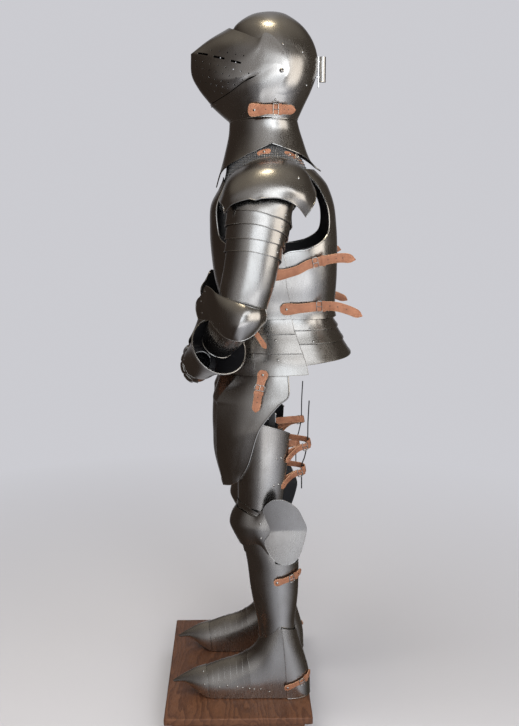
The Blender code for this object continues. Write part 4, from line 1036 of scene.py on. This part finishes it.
def keep_shading(mesh, places, normals):
    """Outer faces keep the whole plate's normals, so that the holes leave no dents in the shading."""
    tree = KDTree(len(places))
    for n, point in enumerate(places + ORIGIN):
        tree.insert(point, n)
    tree.balance()
    steel = [n for n, made in enumerate(mesh.materials) if made == plate_steel]
    found = {}
    custom = [(0.0, 0.0, 0.0)] * len(mesh.loops)
    for face in mesh.polygons:
        if face.material_index not in steel:
            continue
        for loop in face.loop_indices:
            vertex = mesh.loops[loop].vertex_index
            if vertex not in found:
                near = tree.find_n(mesh.vertices[vertex].co, 4)
                found[vertex] = tuple(unit(sum(normals[n] / (far + 1e-6) for _, n, far in near)))
            custom[loop] = found[vertex]
    mesh.normals_split_custom_set(custom)


# Mail and cuirass

MAIL_TURN = 1.40
MAIL_TOP = 1.4665
MAIL_LOW = 1.305
RING_RADIUS = 0.0035
RING_WIRE = 0.00075
RING_PITCH = 0.0064
RING_ROW = 0.0047
RING_LIFT = 0.0008
RING_LEAN = 30
RINGS_SHOW = 62
RINGS_FALL = 0.095


def mail_rise(turns):
    """How much shorter the mail hangs at the sides and the back, as a share of its fall."""
    return 0.52 * np.clip(1.35 - 1.9 * np.cos(np.radians(turns)), 0.0, 1.0)


def make_mail():
    """Sheet of mail over the shoulders, with rings on the stretches that show beside the neck."""
    turns = np.linspace(0, 360, 97)
    rows = []
    for z in metres((1470, 1466, 1462, 1456, 1450, 1440, 1430, 1415, 1400, 1375, 1350, 1325, 1300)):
        hem = 0.080 * np.maximum(0.0, np.cos(np.radians(turns))) * max(0.0, (1.35 - z) / 0.05) ** 2
        rows.append(MAIL_FORM.at(z - hem + mail_rise(turns) * max(0.0, MAIL_TURN - z), turns))
    part = Part()
    part.shell(rows, inside=(0, 0.088, 1.36), wall=0.0018, closed=True, slots=(MAIL, MAIL, MAIL))
    mail = part.make("mail_mantle", slot="mail_steel")

    sides = 3
    ring = []
    for a in round_turns(8):
        for b in round_turns(sides):
            r = RING_RADIUS + RING_WIRE * math.cos(b)
            ring.append((r * math.cos(a), r * math.sin(a), RING_WIRE * math.sin(b)))
    ring = np.array(ring)
    pattern = tube_faces(8, sides, closed=True)
    rings = Part()
    points, faces = [], []
    z = MAIL_TOP
    k = 0
    while z > MAIL_LOW:
        for centre in (90.0, 270.0):
            line = np.linspace(centre - RINGS_SHOW, centre + RINGS_SHOW, 400)
            run = run_along(MAIL_FORM.at(z, line))
            turn = np.interp(np.arange((k % 2) * RING_PITCH / 2, run[-1], RING_PITCH), run, line)
            turn = turn[MAIL_TURN - RINGS_FALL * (1 - mail_rise(turn)) < z]
            if not len(turn):
                continue
            place = MAIL_FORM.out_from(z, turn, RING_LIFT)
            across = unit(MAIL_FORM.at(z, turn + 0.5) - MAIL_FORM.at(z, turn - 0.5))
            normal = unit(MAIL_FORM.out_from(z, turn, 0.002) - place)
            lean = math.radians(RING_LEAN if k % 2 else -RING_LEAN)
            tilt = np.cross(normal, across) * math.cos(lean) + normal * math.sin(lean)
            for axes in zip(place, across, tilt, np.cross(across, tilt)):
                base = len(points) * len(ring)
                points.append(axes[0] + ring @ np.array(axes[1:]))
                faces += [tuple(i + base for i in face) for face in pattern]
        step = 0.001
        slope = np.linalg.norm(MAIL_FORM.at(z, 90.0) - MAIL_FORM.at(z - step, 90.0)) / step
        z -= RING_ROW / slope
        k += 1
    rings.add(np.concatenate(points), faces, MAIL)
    linked = rings.make("mail_rings", in_cad=False, slot="mail_steel", bend=80)


def side_edge(line):
    """Radius of the roll round the armhole; the edge is plain below it."""
    return np.interp(line[:, 2], (1.188, 1.206), (0.0006, 0.0022))


def lames(part, form, table, facing, across, inside, rim=0.0009):
    """Overlapping lames, each its own plate tucked under the one above; edges may sag and slant."""
    s = np.linspace(-1, 1, across)
    sag, reach = table[0][3] / 1000, 2 * table[0][2] - table[1][2]
    for k, (top, bottom, wide, *lengths) in enumerate(table):
        top, bottom, drop, out_top, out_bottom, slant = metres((top, bottom, *lengths))
        tuck, inset = (0.009, 0.0022) if k else (0.0, 0.0)
        steps = zip(*(np.linspace(first, last, 9) for first, last in (
            (top + tuck, bottom), (sag, drop), (reach, wide), (out_top - inset, out_bottom))))
        lines = [form.out_from(z + bend * s * s + slant * s, facing + spread * s, lift)
                 for z, bend, spread, lift in steps]
        part.shell(lines, inside, LAME, rims=[("bottom", rim), ("left", rim * 0.7), ("right", rim * 0.7)])
        sag, reach = drop, wide


def make_cuirass():
    chest = (0, 0.1, 1.2)
    armholes = [("left", side_edge), ("right", side_edge)]
    part = Part()
    part.shell(wrap(TORSO, BREAST_ROWS, 0, 81, 57), chest, rims=[*armholes, ("bottom", 0.0010)])
    part.make("breastplate")
    part = Part()
    part.shell(wrap(TORSO, BACK_ROWS, 180, 81, 57, out=-0.0035), chest, rims=armholes)
    part.make("backplate")
    for name, table, facing, spots in (
            ("fauld", FAULD_LAMES, 0, ((0.120, 1.034), (0.099, 0.981), (0.104, 0.934))),
            ("culet", CULET_LAMES, 180, ((0.185, 1.040), (0.187, 1.007), (0.196, 0.976)))):
        part = Part()
        lames(part, TORSO, table, facing, 73, (0, 0.12, 0.96))
        part.rivets(spots, both=True)
        part.make(name)


def make_body_straps():
    """Shoulder straps under the mail, with their two tabs on it, and the side straps with free ends."""
    part = Part()
    path = [(0.112, 0.006, 1.3740), (0.113, 0.024, 1.4060), (0.114, 0.042, 1.4235), (0.114, 0.064, 1.4330),
            (0.114, 0.088, 1.4355), (0.114, 0.112, 1.4335), (0.113, 0.136, 1.4225), (0.112, 0.156, 1.3920)]
    lay_strap(part, path, ((0, 0.026), (1, 0.026)), (0.115, 0.088, 1.34), rivet=(0.04, 0.96))
    for ys, zs, wide, buckle, spots in (
            ((54, 64, 75, 87), (1443.5, 1448, 1450.5, 1451), 0.0150, None, (0.5,)),
            ((122, 136, 152, 172), (1448, 1443.5, 1435, 1419), 0.0155, 0.5, (0.22, 0.85))):
        outline = ((0, wide * 0.7), (0.2, wide), (0.85, wide), (1, wide * 0.6))
        lay_strap(part, MAIL_FORM.drape(metres(ys), metres(zs), 0.0042), outline, (0.05, 0.10, 1.40),
                  buckle=buckle, rivet=spots)
    part.sides("shoulder_strap", "leather")

    outline = ((0, 0.022), (0.05, 0.030), (0.11, 0.030), (0.22, 0.024), (0.93, 0.024), (1, 0.008))
    for name, z, zs, turns, lift, tail, buckle, keeper, holes in (
            ("side_strap_upper", 1.19, (1148, 1151, 1160, 1174), (80, 92, 104, 114), 0.0045,
             ((164.5, 235, 1187), (166, 268, 1190), (172, 297, 1186)), 0.55, 0.63, (0.70, 0.78, 0.86)),
            ("side_strap_lower", 1.06, (1062, 1063, 1065, 1067), (88, 98, 110, 122), 0.0050,
             ((153, 245, 1067), (160, 282, 1058), (167, 317, 1043)), 0.47, 0.53, (0.60, 0.70, 0.80))):
        part = Part()
        path = [*TORSO.out_from(metres(zs), np.array(turns), lift), *metres(tail)]
        lay_strap(part, path, outline, (0, 0.1, z), holes=holes, buckle=buckle, keepers=(keeper,),
                  rivet=(0.08,))
        part.sides(name, "leather")


# The arms

def make_upper_arm():
    part = Part()
    grid = patch(PAULDRON, 65, 41)
    dip = 0.0042 * np.exp(-((grid[-1, :, 1] - 0.044) / 0.010) ** 2)
    for depth, line in ((1.0, -1), (0.7, -2), (0.35, -3)):
        grid[line, :, 2] -= depth * dip
    part.shell(grid, inside=(0.20, 0.08, 1.32), rims=[("around", 0.0011)])
    part.rivets([(0.148, 1.386)])
    part.sides("pauldron")
    part = Part()
    lames(part, UPPER_ARM, SHOULDER_LAMES, 90, 61, inside=(0.235, 0.05, 1.26))
    part.rivets([(0.118, 1.300), (0.108, 1.273), (0.103, 1.243), (0.098, 1.212)], 0.0028)
    part.sides("shoulder_lames")
    part = Part()
    top = 1.236
    turns = np.linspace(0, 360, 65)
    lows = 1.0835 - 0.0165 * np.cos(np.radians(turns - 180))
    rows = [UPPER_ARM.out_from(top + (lows - top) * step, turns, -0.003) for step in np.linspace(0, 1, 25)]
    part.shell(rows, inside=(0.243, 0.035, 1.15), closed=True)
    part.sides("rerebrace")


def make_elbow():
    """Couter, crowned in height with a keel at its point, and the strap tail that leaves it."""
    part = Part()
    elbow = (0.24, 0.0, 1.06)
    keel_height = 0.0045
    top, middle, low = patch(COUTER, 81, 3)
    v = np.linspace(0, 1, 37)[:, None, None]
    grid = top * (1 - v) ** 2 + (4 * middle - top - low) * v * (1 - v) + low * v * v
    u, v = np.meshgrid(np.linspace(0, 7, 81), v[:, 0, 0])
    keel = np.clip(1 - np.abs(u - (4.95 - 0.5 * v)) / 0.9, 0, 1) ** 1.4 * np.sin(v * math.pi) ** 0.6
    grid = grid + normals_of(grid, elbow) * (keel_height * keel)[..., None]
    part.shell(grid, inside=elbow, rims=[("around", 0.0008)])
    part.rivets([(-0.078, 1.112), (-0.088, 1.086), (-0.086, 1.058)], 0.0026)
    part.sides("couter")
    part = Part()
    path = [(0.2330, 0.037, 1.026), (0.2385, 0.047, 1.012), (0.2410, 0.059, 0.994), (0.2400, 0.072, 0.974)]
    lay_strap(part, path, ((0, 0.0146), (0.86, 0.0146), (1, 0.006)), (0.18, 0.0, 1.0), holes=(0.62,))
    part.sides("couter_strap", "leather", in_cad=False)


def make_forearm():
    part = Part()
    around = np.linspace(0, 360, 61)
    axis = unit(FOREARM.rows[-1, :3] - FOREARM.rows[0, :3])
    hidden = [FOREARM.at(0.0, around) + axis * k for k in (-0.030, -0.015)]
    part.shell(hidden + [FOREARM.at(k, around) for k in np.linspace(0, 0.070, 13)],
               inside=(0.197, -0.033, 1.0), closed=True, rims=[("bottom", 0.0010)])
    part.sides("vambrace")
    part = Part()
    part.shell([CUFF.at(k, around) for k in np.linspace(0, 0.114, 19)],
               inside=(0.16, -0.07, 0.945), closed=True, rims=[("top", 0.0021)])
    part.sides("gauntlet_cuff")


def lobe(part, low, high, mid, half, lift, bulge, scallop):
    """Small plate on the fist, crowned across; its far edge may bow forward."""
    s, v = np.meshgrid(np.linspace(-1, 1, 11), np.linspace(0, 1, 7))
    key = low + (high - low) * v + scallop * (1 - s * s) * v
    out = lift[0] + (lift[1] - lift[0]) * v + bulge * np.sqrt(np.clip(1 - s * s, 0, 1))
    part.shell(FIST.out_from(key, mid + half * s, out), inside=FIST.row((low + high) / 2)[:3], wall=0.0011,
               slots=(STEEL, INSIDE, STEEL), rims=[("bottom", 0.0005)])


def make_hand():
    """Gloved fist under overlapping hand plates: wrist lames, metacarpal plate, knuckles, finger scales."""
    part = Part()
    around = np.linspace(0, 360, 49)
    keys = np.concatenate([np.linspace(0, 0.100, 17), [0.105, 0.109, 0.112, 0.113]])
    rows = [FIST.out_from(k, around, -0.0055 if k < 0.11 else -0.002) for k in keys]
    part.shell(rows, inside=(0.06, -0.1, 0.905), closed=True, wall=THIN, slots=(GLOVE, INSIDE, INSIDE))
    # Near-black sleeve from inside the cuff to the glove: painted shade filling the dark inside the cuff.
    start, end = CUFF.out_from(0.108, around, -0.004), rows[1]
    part.shell([start + (end - start) * t for t in np.linspace(0, 1, 7)], inside=(0.11, -0.094, 0.918),
               closed=True, wall=THIN, slots=(INSIDE, INSIDE, INSIDE))
    lobe(part, 0.002, 0.024, 60, 128, (-0.0036, -0.0022), 0.0, 0.004)
    lobe(part, 0.018, 0.036, 60, 128, (-0.0036, -0.0022), 0.0, 0.004)
    lobe(part, 0.030, 0.060, 62, 118, (-0.0036, -0.0020), 0.0, 0.003)
    for mid, half in ((20, 19), (60, 20), (102, 21), (144, 20)):
        lobe(part, 0.048, 0.064, mid, half, (-0.0045, -0.0022), 0.0026, 0.005)
        for low, high in ((0.060, 0.076), (0.072, 0.087), (0.083, 0.097), (0.093, 0.105)):
            lobe(part, low, high, mid, half * 0.94, (-0.0065, -0.0050), 0.0046, 0.002)
    part.sides("gauntlet_hand")


# The legs

TASSET_TURNS = (8.0, 23.0, 46.0, 62.0, 78.0, 92.5)
TASSET_TOP = ((905, -10.5), (884, -8.5))


def make_thigh():
    """Tasset, hung from under the fauld with a fold at its top, and the cuisse."""
    part = Part()
    top = [TORSO.out_from(z, np.array(TASSET_TURNS), tuck) for z, tuck in metres(TASSET_TOP)]
    part.shell(patch([*top, *TASSET], 61, 61, ridges=(2,)), inside=(0.10, 0.08, 0.75),
               rims=[("left", 0.0012), ("right", 0.0020), ("bottom", 0.0012)])
    part.sides("tasset")
    part = Part()
    rows = [(775, 136, 735), (700, 136, 690), (620, 134, 615), (560, 132, 550), (545, 130, 516)]
    part.shell(wrap(THIGH, rows, 14.0, 73, 33), inside=(0.12, 0.07, 0.65), rims=[("top", 0.0021)])
    part.rivets([(0.102, 0.674), (0.114, 0.675), (0.095, 0.603), (0.107, 0.604)], SMALL_RIVET)
    part.sides("cuisse")


def make_knee():
    """Poleyn with its side fan, creased along the middle, and the lames above and below it."""
    part = Part()
    part.shell(patch(POLEYN, 61, 41), inside=(0.13, 0.09, 0.487))
    loop = np.concatenate([FAN_OUTLINE[-1:], FAN_OUTLINE, FAN_OUTLINE[:2]])
    loop = spline(loop, np.linspace(1, len(FAN_OUTLINE) + 1, 91))
    shares = np.append(0.00002, np.linspace(0.06, 1, 17))[:, None, None]
    y, z = np.moveaxis(FAN_MIDDLE + shares * (loop - FAN_MIDDLE), -1, 0)
    rise = z - FAN_MIDDLE[1]
    valley = 0.115 * np.sqrt(rise ** 2 + 0.0015 ** 2)
    lean = 0.065 * rise
    bow = 1.4 * (y - 0.115) ** 2
    part.shell(np.stack([0.2010 + valley + lean - bow, y, z], axis=-1), inside=(0.13, 0.118, 0.487),
               closed=True, rims=[("bottom", 0.0004)])
    part.rivets([(0.058, 0.506), (0.060, 0.466)], 0.0032)
    part.sides("poleyn")
    part = Part()
    s = np.linspace(-1, 1, 41)
    for form, top_z, bottom_z, wide, drop, lift, edge in (
            (THIGH, 0.553, 0.538, 92.0, -0.030, 0.0022, "bottom"),
            (THIGH, 0.541, 0.526, 84.0, -0.022, 0.0038, "bottom"),
            (SHIN, 0.448, 0.428, 84.0, 0.010, 0.0042, "top"),
            (SHIN, 0.434, 0.408, 86.0, 0.002, 0.0024, "top")):
        lines = [form.out_from(z + drop * s * s, wide * s, lift) for z in np.linspace(top_z, bottom_z, 5)]
        part.shell(lines, inside=(0.127, 0.07, 0.49), wall=0.0013, rims=[(edge, 0.0006)])
    part.sides("knee_lames", in_cad=False)


def make_shin():
    for name, facing, out, edge, rows in (
            ("greave_front", 0, 0.0, "bottom",
             [(440, 92, 440), (380, 92, 380), (300, 92, 300), (240, 92, 240), (166, 92, 208.5)]),
            ("greave_back", 180, -0.0032, "top",
             [(380, 92, 388), (330, 92, 335), (280, 92, 285), (235, 92, 240), (192.5, 92, 209.5),
              (174, 92, 191)])):
        part = Part()
        part.shell(wrap(SHIN, rows, facing, 61, 37, out), inside=(0.13, 0.10, 0.30), rims=[(edge, 0.0010)])
        part.sides(name)


SABATON_X = 0.133
LAME_ROWS = (2.95, 3.35, 3.72, 4.08, 4.42, 4.76, 5.10, 5.45)
LAME_LAP = 0.10


def make_foot():
    """Toe cap with its long point, lames over the instep, an ankle plate and the heel plate."""
    foot = whole_rows(SABATON) + np.array((SABATON_X, 0, 0))
    inside = (SABATON_X, 0.03, 0.03)
    part = Part()

    def band(low, high, lift_low, lift_high, down):
        grid = patch(foot, 41, down, low=low, high=high)
        grid += normals_of(grid, inside) * np.linspace(lift_low, lift_high, down)[:, None, None]
        part.shell(grid, inside=inside, wall=LAME, slots=(STEEL, INSIDE, STEEL))
    band(0.0, LAME_ROWS[0], 0.0, 0.0018, 33)
    for low, high in zip(LAME_ROWS, LAME_ROWS[1:]):
        band(low - LAME_LAP, high, -0.0009, 0.0008, 7)
    band(LAME_ROWS[-1] - LAME_LAP, 8.0, -0.0009, 0.0, 31)
    part.rivets([(-0.095, 0.070), (-0.092, 0.041), (-0.051, 0.035), (-0.030, 0.039), (-0.003, 0.036),
                 (0.012, 0.033), (0.030, 0.031), (0.043, 0.029), (0.060, 0.029), (0.084, 0.021)], 0.0027)
    part.sides("sabaton")
    part = Part()
    rows = [(2, 91, 2), (60, 91, 60), (120, 91, 130), (188.5, 91, 204.5)]
    part.shell(wrap(HEEL, rows, 180, 61, 31), inside=(SABATON_X, 0.10, 0.10),
               rims=[("top", 0.0010), ("left", 0.0010), ("right", 0.0010)])
    part.sides("heel_plate")


def strap_outline(width):
    """Strap with a broad riveted root and a pointed tail."""
    return [(share, width * factor) for share, factor in
            ((0, 0.80), (0.07, 1.30), (0.14, 1.30), (0.26, 1.0), (0.92, 1.0), (1, 0.34))]


def make_leg_straps():
    part = Part()
    path = [(0.1912, 0.068, 0.910), (0.1925, 0.062, 0.885), (0.1958, 0.055, 0.855), (0.1984, 0.046, 0.803)]
    lay_strap(part, path, strap_outline(0.021), (0.05, 0.055, 0.855), holes=(0.64, 0.76), buckle=0.42,
              keepers=(0.54,), rivet=(0.10,))
    part.sides("tasset_strap", "leather")
    for name, z, back in (("upper", 0.674, 0.191), ("lower", 0.603, 0.178)):
        part = Part()
        ends = THIGH.out_from(np.array((z + 0.036, z + 0.036, z + 0.004, z)), np.array((250, 232, 147, 133)),
                              (-0.0110, -0.0125, -0.0125, -0.0100))
        path = [*ends[:2], (0.098, back - 0.037, z + 0.036), (0.110, back - 0.009, z + 0.034),
                (0.125, back + 0.0012, z + 0.031), (0.1385, back - 0.009, z + 0.026),
                (0.1455, back - 0.035, z + 0.018), *ends[2:]]
        middle = (0.12, back - 0.07, z + 0.02)
        lay_strap(part, path, ((0, 0.019), (1, 0.019)), middle, holes=(0.56,), buckle=0.66, keepers=(0.60,))
        tail = [(0.1395, back - 0.0065, z + 0.0265), (0.1475, back - 0.030, z + 0.019),
                (0.1560, back - 0.050, z + 0.004), (0.1640, back - 0.064, z - 0.014)]
        lay_strap(part, tail, ((0, 0.017), (0.9, 0.017), (1, 0.006)), middle, holes=(0.5, 0.66, 0.82))
        part.sides("cuisse_strap_" + name, "leather")
    for name, form, z, climb, turn, sweep, lift, width, middle in (
            ("greave_strap", SHIN, 0.338, 0.018, 84.0, 17, 0.0042, 0.016, (0.129, 0.10, 0.347)),
            ("heel_strap", HEEL, 0.034, 0.032, 82.0, 18, 0.0040, 0.015, (0.133, 0.12, 0.05))):
        part = Part()
        path = [form.out_from(z + climb * k / 5, turn + sweep * k, lift) for k in range(6)]
        lay_strap(part, path, strap_outline(width), middle, holes=(0.60, 0.78), buckle=0.5, keepers=(0.68,),
                  rivet=(0.09,), thick=THIN_LEATHER)
        part.sides(name, "leather", in_cad=form is SHIN)
    part = Part()
    wire = [(0.125, 0.1880, 0.816), (0.125, 0.1855, 0.760), (0.125, 0.1845, 0.705), (0.125, 0.1775, 0.665),
            (0.125, 0.1705, 0.640), (0.125, 0.1700, 0.578)]
    part.tube(spline(wire, np.linspace(0, 5, 41)), 0.0016, BLACK, 10)
    part.sides("tie_wire", "black_paint")


# The stand

def make_stand():
    """Walnut board with an eased edge on a recessed plinth, and the black steel frame inside the suit."""
    for name, low, high, soft in (("base_board", board_low, board_high, 0.0045),
                                  ("base_plinth", plinth_low, plinth_high, 0.002)):
        block = bmesh.new()
        bmesh.ops.create_cube(block, size=1.0)
        bmesh.ops.scale(block, vec=high - low, verts=block.verts)
        bmesh.ops.translate(block, vec=(low + high) / 2, verts=block.verts)
        bmesh.ops.bevel(block, geom=list(block.edges), offset=soft, segments=4, profile=0.6, affect="EDGES")
        mesh = bpy.data.meshes.new(name)
        block.to_mesh(mesh)
        block.free()
        mesh.materials.append(walnut)
        mesh.shade_smooth()
        made = bpy.data.objects.new(name, mesh)
        bpy.context.scene.collection.objects.link(made)
        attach(made, "suit")
        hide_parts(name)
        for edge in mesh.edges:
            edge.use_edge_sharp = False
    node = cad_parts["stand_frame"]
    node.data.materials.clear()
    node.data.materials.append(black_paint_and_hole_shade)
    ease = node.modifiers.new("eased", "BEVEL")
    ease.width = 0.0012
    ease.segments = 2
    ease.limit_method = "ANGLE"


for make in (make_stand, make_helmet, make_mail, make_cuirass, make_body_straps, make_upper_arm, make_elbow,
             make_forearm, make_hand, make_thigh, make_knee, make_shin, make_foot, make_leg_straps):
    make()
